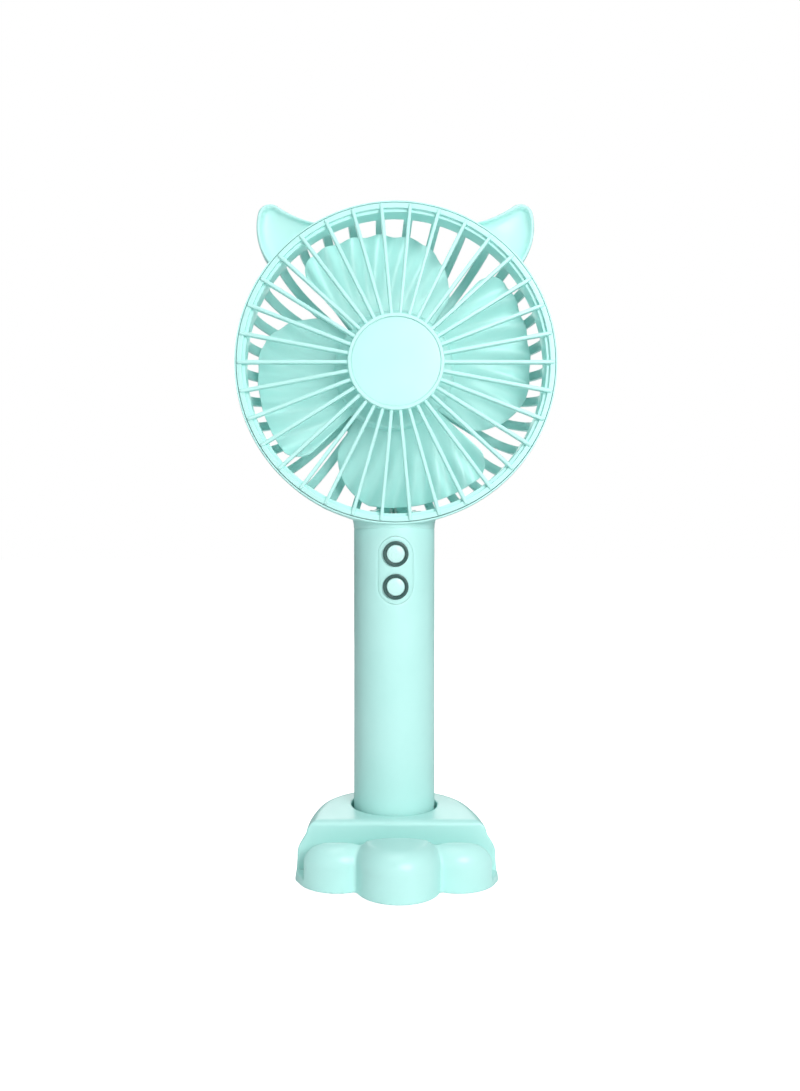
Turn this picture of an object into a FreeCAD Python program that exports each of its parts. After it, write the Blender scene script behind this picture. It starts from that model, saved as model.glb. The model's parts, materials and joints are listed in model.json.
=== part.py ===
import FreeCAD, Part
import math
import os
import re
import Sketcher

# A handheld electric fan with cat ears that stands in a paw-shaped holder.
# Frame: millimetres, +Z up, table at z = 0, handle axis on Z, the fan faces -Y.

Vector = FreeCAD.Vector
doc = FreeCAD.newDocument("handheld_fan")
sheet = doc.addObject("Spreadsheet::Sheet", "Dims")

DRIVING = {
    # handle
    "handle_radius": 13.5,
    "handle_wall": 2.0,
    "handle_foot": 3.25,
    "handle_top": 110.6,
    "tail_height": 3.0,
    "seam": 0.1,
    # head
    "head_height": 163.7,
    "ring_radius": 52.0,
    "ring_wall": 1.8,
    "lip_front": 14.9,
    "lip_wall": 0.9,
    "lip_depth": 2.3,
    "bowl_start": -1.0,
    "bowl_big": 22.9,
    "bowl_small": 14.5,
    "shoulder_angle": 40.9,
    "rear_bar": 3.0,
    "bar_count": 34,
    "window_front": 3.5,
    "window_inner": 24.0,
    "neck_radius": 14.0,
    "neck_reach": 12.0,
    "neck_roof": 0.6,
    "neck_bore": 9.5,
    "spigot_radius": 11.3,
    "spigot_length": 3.4,
    "passage_radius": 2.4,
    "passage_back": 6.0,
    "screw_block_half": 3.0,
    "screw_block_front": 5.4,
    "screw_block_depth": 5.0,
    # motor
    "motor_screw_circle": 9.0,
    "motor_screw_radius": 1.0,
    "motor_head_radius": 1.9,
    "motor_head_seat": 18.0,
    "flange_radius": 12.0,
    "flange_front": 16.0,
    "shoulder_front": 13.8,
    "shoulder_radius": 5.6,
    "tube_radius": 4.0,
    "tube_bore": 2.8,
    "tube_front": 1.6,
    # ears
    "ear_front": 10.5,
    "ear_depth": 6.0,
    "ear_dish": 2.0,
    "ear_round": 1.3,
    "ear_sink": 0.8,
    "ear_top_angle": 63.4,
    "ear_top_curve": 36.0,
    "ear_tip_inner_x": 38.6,
    "ear_tip_inner_z": 51.9,
    "ear_tip_curve": 4.2,
    "ear_tip_outer_x": 44.6,
    "ear_tip_outer_z": 50.0,
    "ear_side_curve": 20.1,
    "ear_side_angle": 38.2,
    "dish_top_angle": 58.5,
    "dish_top_curve": 37.8,
    "dish_tip_inner_x": 39.5,
    "dish_tip_inner_z": 50.4,
    "dish_tip_curve": 2.4,
    "dish_tip_outer_x": 42.9,
    "dish_tip_outer_z": 49.3,
    "dish_side_curve": 18.3,
    "dish_side_angle": 40.5,
    # front grille
    "grille_front": 15.0,
    "grille_inner": 49.4,
    "grille_step": 13.9,
    "grille_step_inner": 48.4,
    "grille_clearance": 0.1,
    "grille_sleeve": 5.6,
    "spoke_front": 15.7,
    "spoke_back": 13.3,
    "spoke_width": 1.15,
    "spoke_reach": 50.3,
    "hub_rim_outer": 15.5,
    "hub_rim_inner": 14.35,
    "hub_front": 16.5,
    "hub_floor": 13.9,
    "cap_radius": 14.2,
    "cap_front": 16.1,
    # rotor
    "rotor_radius": 20.0,
    "rotor_wall": 1.6,
    "rotor_front": 3.0,
    "rotor_back": 11.5,
    "rotor_round": 1.6,
    "blade_radius": 46.0,
    "blade_thickness": 1.2,
    "blade_count": 4,
    "blade_turn": 4.5,
    "blade_rise": 8.0,
    "blade_root": 19.2,
    "blade_low_turn": -44.5,
    "blade_high_turn": 42.0,
    "blade_low_corner": 0.70,
    "blade_low_corner_turn": -41.0,
    "blade_low_tip_turn": -15.0,
    "blade_high_tip_turn": 33.0,
    "blade_high_corner": 0.84,
    "blade_high_corner_turn": 41.5,
    "blade_low_curve": 0.42,
    "blade_high_curve": 0.17,
    "ripple_height": 0.9,
    "ripple_count": 7,
    "shaft_radius": 1.0,
    "bearing_bore": 1.03,
    "yoke_wall": 0.8,
    "yoke_back": 10.5,
    "magnet_wall": 1.5,
    "stator_radius": 14.9,
    "stator_teeth": 9,
    "stator_front": 2.5,
    "stator_length": 6.0,
    "stator_middle": 6.6,
    "tooth_half": 1.1,
    "tooth_tip_angle": 16.5,
    "tooth_tip_depth": 1.9,
    "tooth_edge": 0.5,
    "coil_length": 4.6,
    "coil_start": 7.5,
    "coil_wall": 0.9,
    "motor_board_radius": 14.5,
    # buttons
    "upper_button_height": 102.3,
    "lower_button_height": 91.7,
    "panel_height": 97.0,
    "panel_width": 11.3,
    "panel_length": 21.8,
    "panel_thickness": 1.6,
    "button_ring_outer": 4.15,
    "button_ring_inner": 3.1,
    "button_ring_front": 14.0,
    "button_ring_length": 2.6,
    "button_radius": 2.95,
    "button_flange": 3.5,
    "button_flange_front": 11.1,
    "button_flange_back": 10.5,
    "button_stem": 1.2,
    "button_stem_back": 9.5,
    "button_front": 14.15,
    "button_dome": 0.5,
    # electronics
    "board_bottom": 82.5,
    "board_top": 106.6,
    "board_width": 17.0,
    "board_face": 6.6,
    "battery_radius": 9.1,
    "battery_bottom": 9.6,
    "battery_length": 65.0,
    "port_height": 97.0,
    "port_width": 7.5,
    "port_thickness": 2.6,
    "wire_radius": 0.5,
    "boss_height": 79.2,
    "boss_radius": 2.6,
    "neck_screw_height": 108.4,
    "handle_screw_radius": 0.9,
    "handle_head_radius": 1.8,
    "handle_seat_radius": 2.05,
    "handle_head_seat": 12.3,
    "boss_head_seat": 9.0,
    # holder
    "foot_gap": 0.6,
    "body_top": 18.3,
    "body_front": -24.2,
    "body_half": 31.6,
    "body_back": 24.0,
    "body_draft": 12.7,
    "body_round": 3.0,
    "body_turn_across": 0.9,
    "body_turn_along": 0.55,
    "toe_radius": 13.0,
    "toe_round": 5.0,
    "toe_dome": 0.6,
    "side_toe_top": 14.9,
    "middle_toe_top": 15.8,
    "side_toe_x": 18.3,
    "side_toe_y": -20.3,
    "middle_toe_y": -29.0,
    "groove_front": -27.6,
    "groove_back": -19.6,
    "groove_floor": 3.0,
    "holder_wall": 2.0,
    "groove_wall": 1.6,
    "socket_radius": 14.4,
    "socket_floor": 3.2,
    "plate_bottom": 0.8,
    "plate_top": 2.0,
    "plate_inset": 2.8,
    "pad_inset": 3.5,
    "pillar_radius": 2.8,
    "pillar_foot": 1.4,
    "plate_boss_radius": 3.2,
    "plate_boss_height": 1.3,
    "holder_screw_radius": 1.2,
    "holder_screw_length": 7.0,
    "holder_head_radius": 2.3,
    "holder_head_height": 1.1,
}

for row, (alias, number) in enumerate(DRIVING.items(), start=1):
    sheet.set("A%d" % row, alias)
    sheet.set("B%d" % row, str(number))
    sheet.setAlias("B%d" % row, alias)
doc.recompute()

NODES = []


# ---------- helpers ----------

def bound(text):
    """An expression in the sheet's names, with the sheet's own name put before each of them."""
    return re.sub(
        r"[a-z_]\w*",
        lambda found: "Dims." + found.group() if found.group() in DRIVING else found.group(),
        str(text),
    )


def value(text):
    """The number an expression comes to now."""
    result = sheet.evalExpression(bound(text))
    return float(getattr(result, "Value", result))


def drive(thing, prop, text):
    """Bind one property to an expression in the sheet's names."""
    thing.setExpression(prop, bound(text))


def place(thing, at):
    """Bind an object's position, and leave its rotation alone."""
    for axis, text in zip("xyz", at):
        if str(text) != "0":
            drive(thing, "Placement.Base." + axis, text)


TURNS = {
    "x": FreeCAD.Rotation(Vector(0, 1, 0), 90),
    "y": FreeCAD.Rotation(Vector(1, 0, 0), -90),
    "z": FreeCAD.Rotation(),
}


def cylinder(name, radius, length, at, axis="z"):
    """A solid cylinder that starts at a point and runs along +x, +y or +z."""
    shape = doc.addObject("Part::Cylinder", name)
    shape.Placement = FreeCAD.Placement(Vector(), TURNS[axis])
    drive(shape, "Radius", radius)
    drive(shape, "Height", length)
    place(shape, at)
    return shape


def box(name, size, at):
    """A box given by its size and its lowest corner."""
    shape = doc.addObject("Part::Box", name)
    for prop, text in zip(("Length", "Width", "Height"), size):
        drive(shape, prop, text)
    place(shape, at)
    return shape


def cut(name, base, tool):
    result = doc.addObject("Part::Cut", name)
    result.Base = base
    result.Tool = tool
    return result


def fuse(name, shapes):
    result = doc.addObject("Part::MultiFuse", name)
    result.Shapes = shapes
    return result


def common(name, shapes):
    result = doc.addObject("Part::MultiCommon", name)
    result.Shapes = shapes
    return result


def group(name, shapes):
    """Separate solids kept together as one node."""
    result = doc.addObject("Part::Compound", name)
    result.Links = shapes
    return result


def tube(name, outer, inner, length, at, axis="z"):
    """A straight tube."""
    return cut(
        name,
        cylinder(name + "_outside", outer, length, at, axis),
        cylinder(name + "_bore", inner, length, at, axis),
    )


def new_body(name, at=("0", "0", "0")):
    body = doc.addObject("PartDesign::Body", name)
    place(body, at)
    return body


def origin_part(body, role):
    """A body's own origin plane or axis."""
    return next(item for item in body.Origin.OriginFeatures if item.Role == role)


def sketch_on(body, role, name, offset=None):
    """A sketch on one of the body's origin planes, moved along that plane's normal."""
    sketch = body.newObject("Sketcher::SketchObject", name)
    sketch.AttachmentSupport = [(origin_part(body, role), "")]
    sketch.MapMode = "FlatFace"
    if offset is not None:
        drive(sketch, "AttachmentOffset.Base.z", offset)
    return sketch


def pin(sketch, geometry, end, across, up):
    """Hold one end of a line or arc, or a circle's centre, at a driven point."""
    for kind, axis, text in (("DistanceX", -2, across), ("DistanceY", -1, up)):
        if str(text) == "0":
            sketch.addConstraint(Sketcher.Constraint("PointOnObject", geometry, end, axis))
            continue
        index = sketch.addConstraint(Sketcher.Constraint(kind, geometry, end, value(text)))
        sketch.setExpression("Constraints[%d]" % index, bound(text))


def circle(sketch, radius, across="0", up="0"):
    index = sketch.addGeometry(
        Part.Circle(Vector(value(across), value(up), 0), Vector(0, 0, 1), value(radius)), False
    )
    pin(sketch, index, 3, across, up)
    size = sketch.addConstraint(Sketcher.Constraint("Radius", index, value(radius)))
    sketch.setExpression("Constraints[%d]" % size, bound(radius))


def arc_between(start, end, radius, bulge):
    """An arc of a given radius; bulge is +1 when it swells to the right of start to end."""
    chord = end - start
    side = Vector(chord.y, -chord.x, 0).normalize() * bulge
    sagitta = radius - math.sqrt(radius ** 2 - chord.Length ** 2 / 4)
    return Part.Arc(start, start + chord / 2 + side * sagitta, end)


def outline(sketch, corners):
    """A closed outline. Each corner is (across, up) with an optional (radius, bulge) for
    the arc that leads on to the next corner; without it the side is straight."""
    points = [Vector(value(c[0]), value(c[1]), 0) for c in corners]
    first = sketch.GeometryCount
    count = len(corners)
    for index, corner in enumerate(corners):
        start = points[index]
        end = points[(index + 1) % count]
        if len(corner) > 2:
            radius, bulge = corner[2]
            side = arc_between(start, end, value(radius), bulge)
        else:
            side = Part.LineSegment(start, end)
        sketch.addGeometry(side, False)
    starts = []
    for index, corner in enumerate(corners):
        number = first + index
        start_end = 1
        if len(corner) > 2:
            radius, bulge = corner[2]
            if bulge < 0:
                start_end = 2
            size = sketch.addConstraint(Sketcher.Constraint("Radius", number, value(radius)))
            sketch.setExpression("Constraints[%d]" % size, bound(radius))
        starts.append((number, start_end))
    # an arc that runs clockwise keeps its ends the other way round
    for index, corner in enumerate(corners):
        number, start_end = starts[index]
        before, before_start = starts[index - 1]
        sketch.addConstraint(
            Sketcher.Constraint("Coincident", before, 3 - before_start, number, start_end)
        )
        pin(sketch, number, start_end, corner[0], corner[1])


def pad(body, sketch, name, length):
    feature = body.newObject("PartDesign::Pad", name)
    feature.Profile = sketch
    drive(feature, "Length", length)
    return feature


def pocket(body, sketch, name, length):
    feature = body.newObject("PartDesign::Pocket", name)
    feature.Profile = sketch
    drive(feature, "Length", length)
    return feature


def revolve(body, sketch, name, kind="PartDesign::Revolution", axis="H_Axis"):
    feature = body.newObject(kind, name)
    feature.Profile = sketch
    feature.ReferenceAxis = (sketch, [axis])
    feature.Angle = 360
    return feature


def around(body, features, name, count, axis="Y_Axis"):
    """Repeat features evenly round one of the body's own axes."""
    pattern = body.newObject("PartDesign::PolarPattern", name)
    pattern.Originals = features
    pattern.Axis = (origin_part(body, axis), [""])
    pattern.Angle = 360
    drive(pattern, "Occurrences", count)
    body.Tip = pattern
    return pattern


def round_edges(body, base, name, radius, wanted):
    """Round the edges of the last feature whose middle points pass a test."""
    doc.recompute()
    names = [
        "Edge%d" % number
        for number, edge in enumerate(base.Shape.Edges, start=1)
        if wanted(edge)
    ]
    feature = body.newObject("PartDesign::Fillet", name)
    feature.Base = (base, names)
    drive(feature, "Radius", radius)
    return feature


def node(thing, label):
    """Keep an object as one of the named pieces."""
    thing.Label = label
    NODES.append(thing)
    return thing


HEAD = ("0", "0", "head_height")


# ---------- holder: paw-shaped stand ----------

def body_outline(body, name, height, inset):
    """The holder's main body low down: straight front, long side arcs, round back.
    The side and back arcs meet without a corner."""
    sketch = sketch_on(body, "XY_Plane", name, height)
    half = "(body_half - %s)" % inset
    back = "(body_back - %s)" % inset
    front = "(body_front + %s)" % inset
    depth = "(%s - %s)" % (back, front)
    turn_x = "(body_turn_across * %s)" % half
    run = "(body_turn_along * %s)" % depth
    rise = "((1 - body_turn_along) * %s)" % depth
    back_radius = "(%s ^ 2 / (2 * %s) + %s / 2)" % (turn_x, rise, rise)
    inward = "(%s - %s)" % (half, turn_x)
    side_radius = "%s * (%s ^ 2 + %s ^ 2) / (2 * ((%s - %s) * %s - %s * %s))" % (
        back_radius, inward, run, back_radius, rise, run, turn_x, inward)
    outline(sketch, [
        ("-" + half, front),
        (half, front, (side_radius, 1)),
        (turn_x, front + " + " + run, (back_radius, 1)),
        ("-" + turn_x, front + " + " + run, (side_radius, 1)),
    ])
    return sketch


def toe(body, name, across, forward, top, inset):
    """One round toe with a rounded upper edge and a faintly domed top."""
    sketch = sketch_on(body, "XZ_Plane", name + "_profile", "-(%s)" % forward)
    if across != "0":
        drive(sketch, "AttachmentOffset.Base.x", across)
    radius = "(toe_radius - %s)" % inset
    edge = "(toe_round - %s / 2)" % inset
    flat = "(%s - %s)" % (radius, edge)
    crown = "(%s - %s)" % (top, inset)
    outline(sketch, [
        ("0", "foot_gap"),
        (radius, "foot_gap"),
        (radius, "%s - toe_dome - %s" % (crown, edge), ("1.0001 * " + edge, 1)),
        (flat, crown + " - toe_dome", ("(%s ^ 2 + toe_dome ^ 2) / (2 * toe_dome)" % flat, 1)),
        ("0", crown),
    ])
    return revolve(body, sketch, name, axis="V_Axis")


def holder_form(label, inset, rounded):
    """The holder's outside form, moved inward by an inset: drafted body and three toes."""
    body = new_body(label)
    main = pad(body, body_outline(body, label + "_outline", "foot_gap", inset), label + "_main",
               "body_top - %s - foot_gap" % inset)
    drive(main, "TaperAngle", "-body_draft * 1 deg")
    if rounded:
        top = value("body_top")
        round_edges(body, main, label + "_rounding", "body_round", lambda edge: (
            edge.BoundBox.ZMin > top - 0.01
            or edge.BoundBox.ZLength > top / 2 and edge.BoundBox.YMax < 0
        ))
    for side, name in ((1, "right"), (-1, "left")):
        toe(body, "%s_%s_toe" % (label, name), "%d * side_toe_x" % side, "side_toe_y",
            "side_toe_top", inset)
    toe(body, label + "_middle_toe", "0", "middle_toe_y", "middle_toe_top", inset)
    return body


def holder_slab(name, inset, low, high):
    """A flat sheet with the holder's outline, moved inward by an inset."""
    thickness = "%s - %s" % (high, low)
    body = new_body(name + "_main")
    pad(body, body_outline(body, name + "_outline", low, inset), name + "_pad", thickness)
    toes = [
        cylinder(name + "_toe" + tag, "toe_radius - %s" % inset, thickness, (across, forward, low))
        for tag, across, forward in (
            ("_right", "side_toe_x", "side_toe_y"),
            ("_left", "-side_toe_x", "side_toe_y"),
            ("_middle", "0", "middle_toe_y"),
        )
    ]
    return fuse(name, [body] + toes)


SCREW_SPOTS = (("0", "-35"), ("-20", "-2"), ("20", "-2"))


def make_holder():
    outside = holder_form("holder_outside", "0", True)
    inside = holder_form("holder_inside", "holder_wall", False)
    reach = "2 * body_half + 4"
    groove = box("phone_groove",
                 (reach, "groove_back - groove_front", "body_top"),
                 ("-body_half - 2", "groove_front", "groove_floor"))
    groove_zone = box("groove_zone",
                      (reach, "groove_back - groove_front + 2 * groove_wall", "body_top"),
                      ("-body_half - 2", "groove_front - groove_wall", "plate_top"))
    socket_zone = cylinder("socket_zone", "socket_radius + holder_wall", "body_top",
                           ("0", "0", "plate_top"))
    socket = cylinder("socket", "socket_radius", "body_top", ("0", "0", "socket_floor"))
    pillars = []
    pilots = []
    screws = []
    plate_bosses = []
    plate_holes = []
    for number, (across, forward) in enumerate(SCREW_SPOTS, start=1):
        tag = "_%d" % number
        on_plate = (across, forward, "plate_top")
        pillars.append(cylinder("pillar" + tag, "pillar_radius", "body_top",
                                (across, forward, "plate_top + pillar_foot")))
        pilots.append(cylinder("pilot" + tag, "holder_screw_radius", "holder_screw_length - 0.4",
                               on_plate))
        plate_bosses.append(cylinder("plate_boss" + tag, "plate_boss_radius", "plate_boss_height",
                                     on_plate))
        plate_holes.append(cylinder("plate_hole" + tag, "holder_screw_radius + seam", "body_top",
                                    (across, forward, "0")))
        plate_holes.append(cylinder("head_seat" + tag, "holder_head_radius + 2 * seam",
                                    "holder_head_height + 2 * seam", (across, forward, "plate_bottom")))
        head = cylinder("holder_screw_head" + tag, "holder_head_radius", "holder_head_height",
                        (across, forward, "plate_bottom + 2 * seam"))
        shank = cylinder("holder_screw_shank" + tag, "holder_screw_radius", "holder_screw_length",
                         (across, forward, "plate_bottom + 4 * seam"))
        screws.append(fuse("holder_screw" + tag, [head, shank]))
    solid_zones = fuse("solid_zones", [groove_zone, socket_zone] + pillars)
    cavity = cut("holder_cavity", inside, solid_zones)
    removed = fuse("holder_removed", [cavity, groove, socket] + pilots)
    node(cut("base_shell", outside, removed), "base_shell")

    plate = holder_slab("plate", "plate_inset", "plate_bottom", "plate_top")
    plate_raised = fuse("plate_raised", [plate] + plate_bosses)
    node(cut("base_bottom_plate", plate_raised, fuse("plate_holes", plate_holes)), "base_bottom_plate")
    node(group("base_screws", screws), "base_screws")
    node(holder_slab("base_pad", "pad_inset", "0", "plate_bottom"), "base_pad")


# ---------- head: rear housing with ears ----------

def bowl_points(inset):
    """The bowl's shoulder and the start of its flat back, moved inward by a wall."""
    big = "(bowl_big - %s)" % inset
    small = "(bowl_small - %s)" % inset
    shoulder_y = "bowl_start + %s * sin(shoulder_angle)" % big
    shoulder_r = "ring_radius - bowl_big + %s * cos(shoulder_angle)" % big
    small_y = "(bowl_start + (bowl_big - bowl_small) * sin(shoulder_angle))"
    small_r = "(ring_radius - bowl_big + (bowl_big - bowl_small) * cos(shoulder_angle))"
    return (shoulder_y, shoulder_r), ("%s + %s" % (small_y, small), small_r), big, small


def pointed_outline(sketch, side, radius, part):
    """A pointed outline that stands on the ring: hollowed top edge, rounded tip, bowed side.
    Its sizes are the sheet's values whose names start with part."""
    def spot(angle):
        return "%s * cos(%s_%s)" % (radius, part, angle), "%s * sin(%s_%s)" % (radius, part, angle)

    top_x, top_z = spot("top_angle")
    side_x, side_z = spot("side_angle")
    outline(sketch, [
        ("%d * %s" % (side, top_x), top_z, (part + "_top_curve", side)),
        ("%d * %s_tip_inner_x" % (side, part), part + "_tip_inner_z", (part + "_tip_curve", -side)),
        ("%d * %s_tip_outer_x" % (side, part), part + "_tip_outer_z", (part + "_side_curve", -side)),
        ("%d * %s" % (side, side_x), side_z, (radius, side)),
    ])


MOTOR_SCREW_SPOTS = tuple(
    ("motor_screw_circle * cos(%d)" % turn, "motor_screw_circle * sin(%d)" % turn)
    for turn in (90, 210, 330)
)


def make_rear_housing():
    body = new_body("rear_housing", HEAD)
    shoulder, flat, big, small = bowl_points("0")
    shoulder_in, flat_in, big_in, small_in = bowl_points("ring_wall")
    inner = "ring_radius - ring_wall"
    lip = "ring_radius - lip_wall"
    step = "-(lip_front - lip_depth)"
    plate_front = flat_in[0]

    profile = sketch_on(body, "YZ_Plane", "bowl_profile")
    outline(profile, [
        ("-lip_front", "ring_radius"),
        ("bowl_start", "ring_radius", (big, -1)),
        shoulder + ((small, -1),),
        flat,
        (flat[0], "0"),
        (plate_front, "0"),
        flat_in + ((small_in, 1),),
        shoulder_in + ((big_in, 1),),
        ("bowl_start", inner),
        (step, inner),
        (step, lip),
        ("-lip_front", lip),
    ])
    bowl = revolve(body, profile, "bowl")
    body.Tip = bowl

    half_pitch = "(180 / bar_count)"
    window = sketch_on(body, "XZ_Plane", "window_outline", "window_front")
    window.AttachmentOffset.Rotation = FreeCAD.Rotation(Vector(0, 0, 1), 180 / value("bar_count"))
    reach = "(ring_radius + 2)"
    inner_half = "(window_inner * tan(%s) - rear_bar / 2 / cos(%s))" % (half_pitch, half_pitch)
    outer_half = "(%s * tan(%s) - rear_bar / 2 / cos(%s))" % (reach, half_pitch, half_pitch)
    outline(window, [
        ("window_inner", "-" + inner_half),
        (reach, "-" + outer_half),
        (reach, outer_half),
        ("window_inner", inner_half),
    ])
    opening = pocket(body, window, "window", "ring_radius")
    around(body, [opening], "windows", "bar_count")

    neck_outline = sketch_on(body, "XY_Plane", "neck_outline", "handle_top - head_height")
    circle(neck_outline, "neck_radius")
    pad(body, neck_outline, "neck", "neck_reach")
    spigot_outline = sketch_on(body, "XY_Plane", "spigot_outline",
                               "handle_top - head_height - spigot_length")
    circle(spigot_outline, "spigot_radius")
    pad(body, spigot_outline, "spigot", "spigot_length")

    for side, name in ((1, "right"), (-1, "left")):
        ear = sketch_on(body, "XZ_Plane", name + "_ear_outline", "ear_front - ear_depth")
        pointed_outline(ear, side, "(ring_radius - ear_sink)", "ear")
        solid = pad(body, ear, name + "_ear", "ear_depth")
        rim = value("ring_radius + ear_sink / 2")
        round_edges(body, solid, name + "_ear_rounding", "ear_round", lambda edge: (
            edge.BoundBox.YLength < 0.01
            and side * edge.CenterOfMass.x > 20
            and math.hypot(edge.CenterOfMass.x, edge.CenterOfMass.z) > rim
        ))
        dish = sketch_on(body, "XZ_Plane", name + "_ear_dish_outline", "ear_front")
        pointed_outline(dish, side, "(ring_radius + ear_sink)", "dish")
        pocket(body, dish, name + "_ear_dish", "ear_dish")

    hollow = sketch_on(body, "YZ_Plane", "hollow_profile")
    outline(hollow, [
        ("-lip_front - 1", "0"),
        (plate_front, "0"),
        flat_in + ((small_in, 1),),
        shoulder_in + ((big_in, 1),),
        ("bowl_start", inner),
        (step, inner),
        (step, lip),
        ("-lip_front - 1", lip),
    ])
    revolve(body, hollow, "hollow", "PartDesign::Groove")

    bore = sketch_on(body, "XY_Plane", "neck_bore_outline", "-(ring_radius + neck_roof)")
    circle(bore, "neck_bore")
    pocket(body, bore, "neck_bore", "ring_radius")
    passage = sketch_on(body, "XY_Plane", "wire_passage_outline", "neck_reach - ring_radius")
    circle(passage, "passage_radius", "0", "passage_back")
    pocket(body, passage, "wire_passage", "ring_radius")
    block = sketch_on(body, "XY_Plane", "screw_block_outline",
                      "handle_top - head_height - spigot_length")
    block_back = "screw_block_front + screw_block_depth"
    outline(block, [
        ("-screw_block_half", "screw_block_front"),
        ("screw_block_half", "screw_block_front"),
        ("screw_block_half", block_back),
        ("-screw_block_half", block_back),
    ])
    pad(body, block, "screw_block", "spigot_length")
    hole = sketch_on(body, "XZ_Plane", "screw_block_hole_outline", "seam - screw_block_front")
    circle(hole, "handle_screw_radius", "0", "neck_screw_height - head_height")
    pocket(body, hole, "screw_block_hole", "spigot_radius")
    for number, (across, up) in enumerate(MOTOR_SCREW_SPOTS, start=1):
        hole = sketch_on(body, "XZ_Plane", "plate_hole_outline_%d" % number, "-12")
        circle(hole, "motor_screw_radius", across, up)
        pocket(body, hole, "plate_hole_%d" % number, "10")
        seat = sketch_on(body, "XZ_Plane", "plate_seat_outline_%d" % number, "-motor_head_seat")
        circle(seat, "motor_head_radius + 2 * seam", across, up)
        pocket(body, seat, "plate_seat_%d" % number, "10")
    node(body, "rear_housing")


# ---------- head: front grille and cap ----------

def make_front_grille():
    body = new_body("front_grille", HEAD)
    hub = sketch_on(body, "YZ_Plane", "grille_hub_profile")
    outline(hub, [
        ("-hub_floor", "0"),
        ("-hub_floor", "hub_rim_inner"),
        ("-hub_front", "hub_rim_inner"),
        ("-hub_front", "hub_rim_outer"),
        ("-spoke_back + 0.6", "hub_rim_outer"),
        ("-spoke_back + 0.6", "0"),
    ])
    revolve(body, hub, "grille_hub")
    half = "(spoke_width / 2)"
    spoke_outline = sketch_on(body, "XZ_Plane", "spoke_outline", "spoke_back")
    outline(spoke_outline, [
        ("hub_rim_inner + 0.3", "-" + half),
        ("spoke_reach", "-" + half, ("0.5001 * spoke_width", 1)),
        ("spoke_reach", half),
        ("hub_rim_inner + 0.3", half),
    ])
    spoke = pad(body, spoke_outline, "spoke", "spoke_front - spoke_back")
    around(body, [spoke], "spokes", "bar_count")
    ring = sketch_on(body, "YZ_Plane", "grille_ring_profile")
    outer = "ring_radius - lip_wall - grille_clearance"
    sleeve = "ring_radius - ring_wall - grille_clearance"
    step = "-(lip_front - lip_depth) - grille_clearance"
    outline(ring, [
        ("-grille_front", "grille_inner"),
        ("-grille_front", outer),
        (step, outer),
        (step, sleeve),
        (step + " + grille_sleeve", sleeve),
        (step + " + grille_sleeve", "grille_step_inner"),
        ("-grille_step", "grille_step_inner"),
        ("-grille_step", "grille_inner"),
    ])
    revolve(body, ring, "grille_ring")
    node(body, "front_grille")

    cap = new_body("front_cap", HEAD)
    profile = sketch_on(cap, "YZ_Plane", "cap_profile")
    outline(profile, [
        ("-hub_floor", "0"),
        ("-hub_floor", "cap_radius"),
        ("-cap_front + 0.7", "cap_radius", ("0.8", 1)),
        ("-cap_front", "cap_radius - 0.7"),
        ("-cap_front - 0.3", "0"),
    ])
    revolve(cap, profile, "cap_disc")
    node(cap, "front_cap")


# ---------- rotor: hub, rippled blades, magnet cup and shaft ----------

def blade_depth(radius, angle):
    """How far behind the head's middle plane the blade's middle surface lies."""
    reach = value("blade_radius")
    spread = math.sin(math.radians(angle)) / math.sin(math.radians(42))
    ripple = math.cos(math.radians(360 * angle / 84 * value("ripple_count")))
    growth = max(0.0, (radius - value("rotor_radius") - 3) / (reach - value("rotor_radius") - 3))
    return 1.0 - value("blade_rise") * radius / reach * spread + value("ripple_height") * growth * ripple


def blade_face(offset):
    """A smooth face through the blade's surface points, wider than the blade itself."""
    rows = []
    for ring in range(6):
        radius = value("rotor_radius") - 3 + ring * (value("blade_radius") + 6 - value("rotor_radius")) / 5
        row = []
        for step in range(43):
            angle = -50 + step * 100 / 42
            row.append(Vector(
                radius * math.cos(math.radians(angle)),
                blade_depth(radius, angle) + offset,
                radius * math.sin(math.radians(angle)),
            ))
        rows.append(row)
    surface = Part.BSplineSurface()
    surface.interpolate(rows)
    return surface.toShape()


def blade_solid():
    """The space between a front and a back face, closed by four strips."""
    half = value("blade_thickness") / 2
    front = blade_face(-half)
    back = blade_face(half)
    strips = [
        Part.makeRuledSurface(edge, other)
        for edge in front.Edges
        for other in back.Edges
        if (edge.CenterOfMass - other.CenterOfMass).Length < 2 * value("blade_thickness")
    ]
    shell = Part.makeShell([front, back] + strips)
    shell.sewShape()
    return Part.makeSolid(shell)


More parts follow.
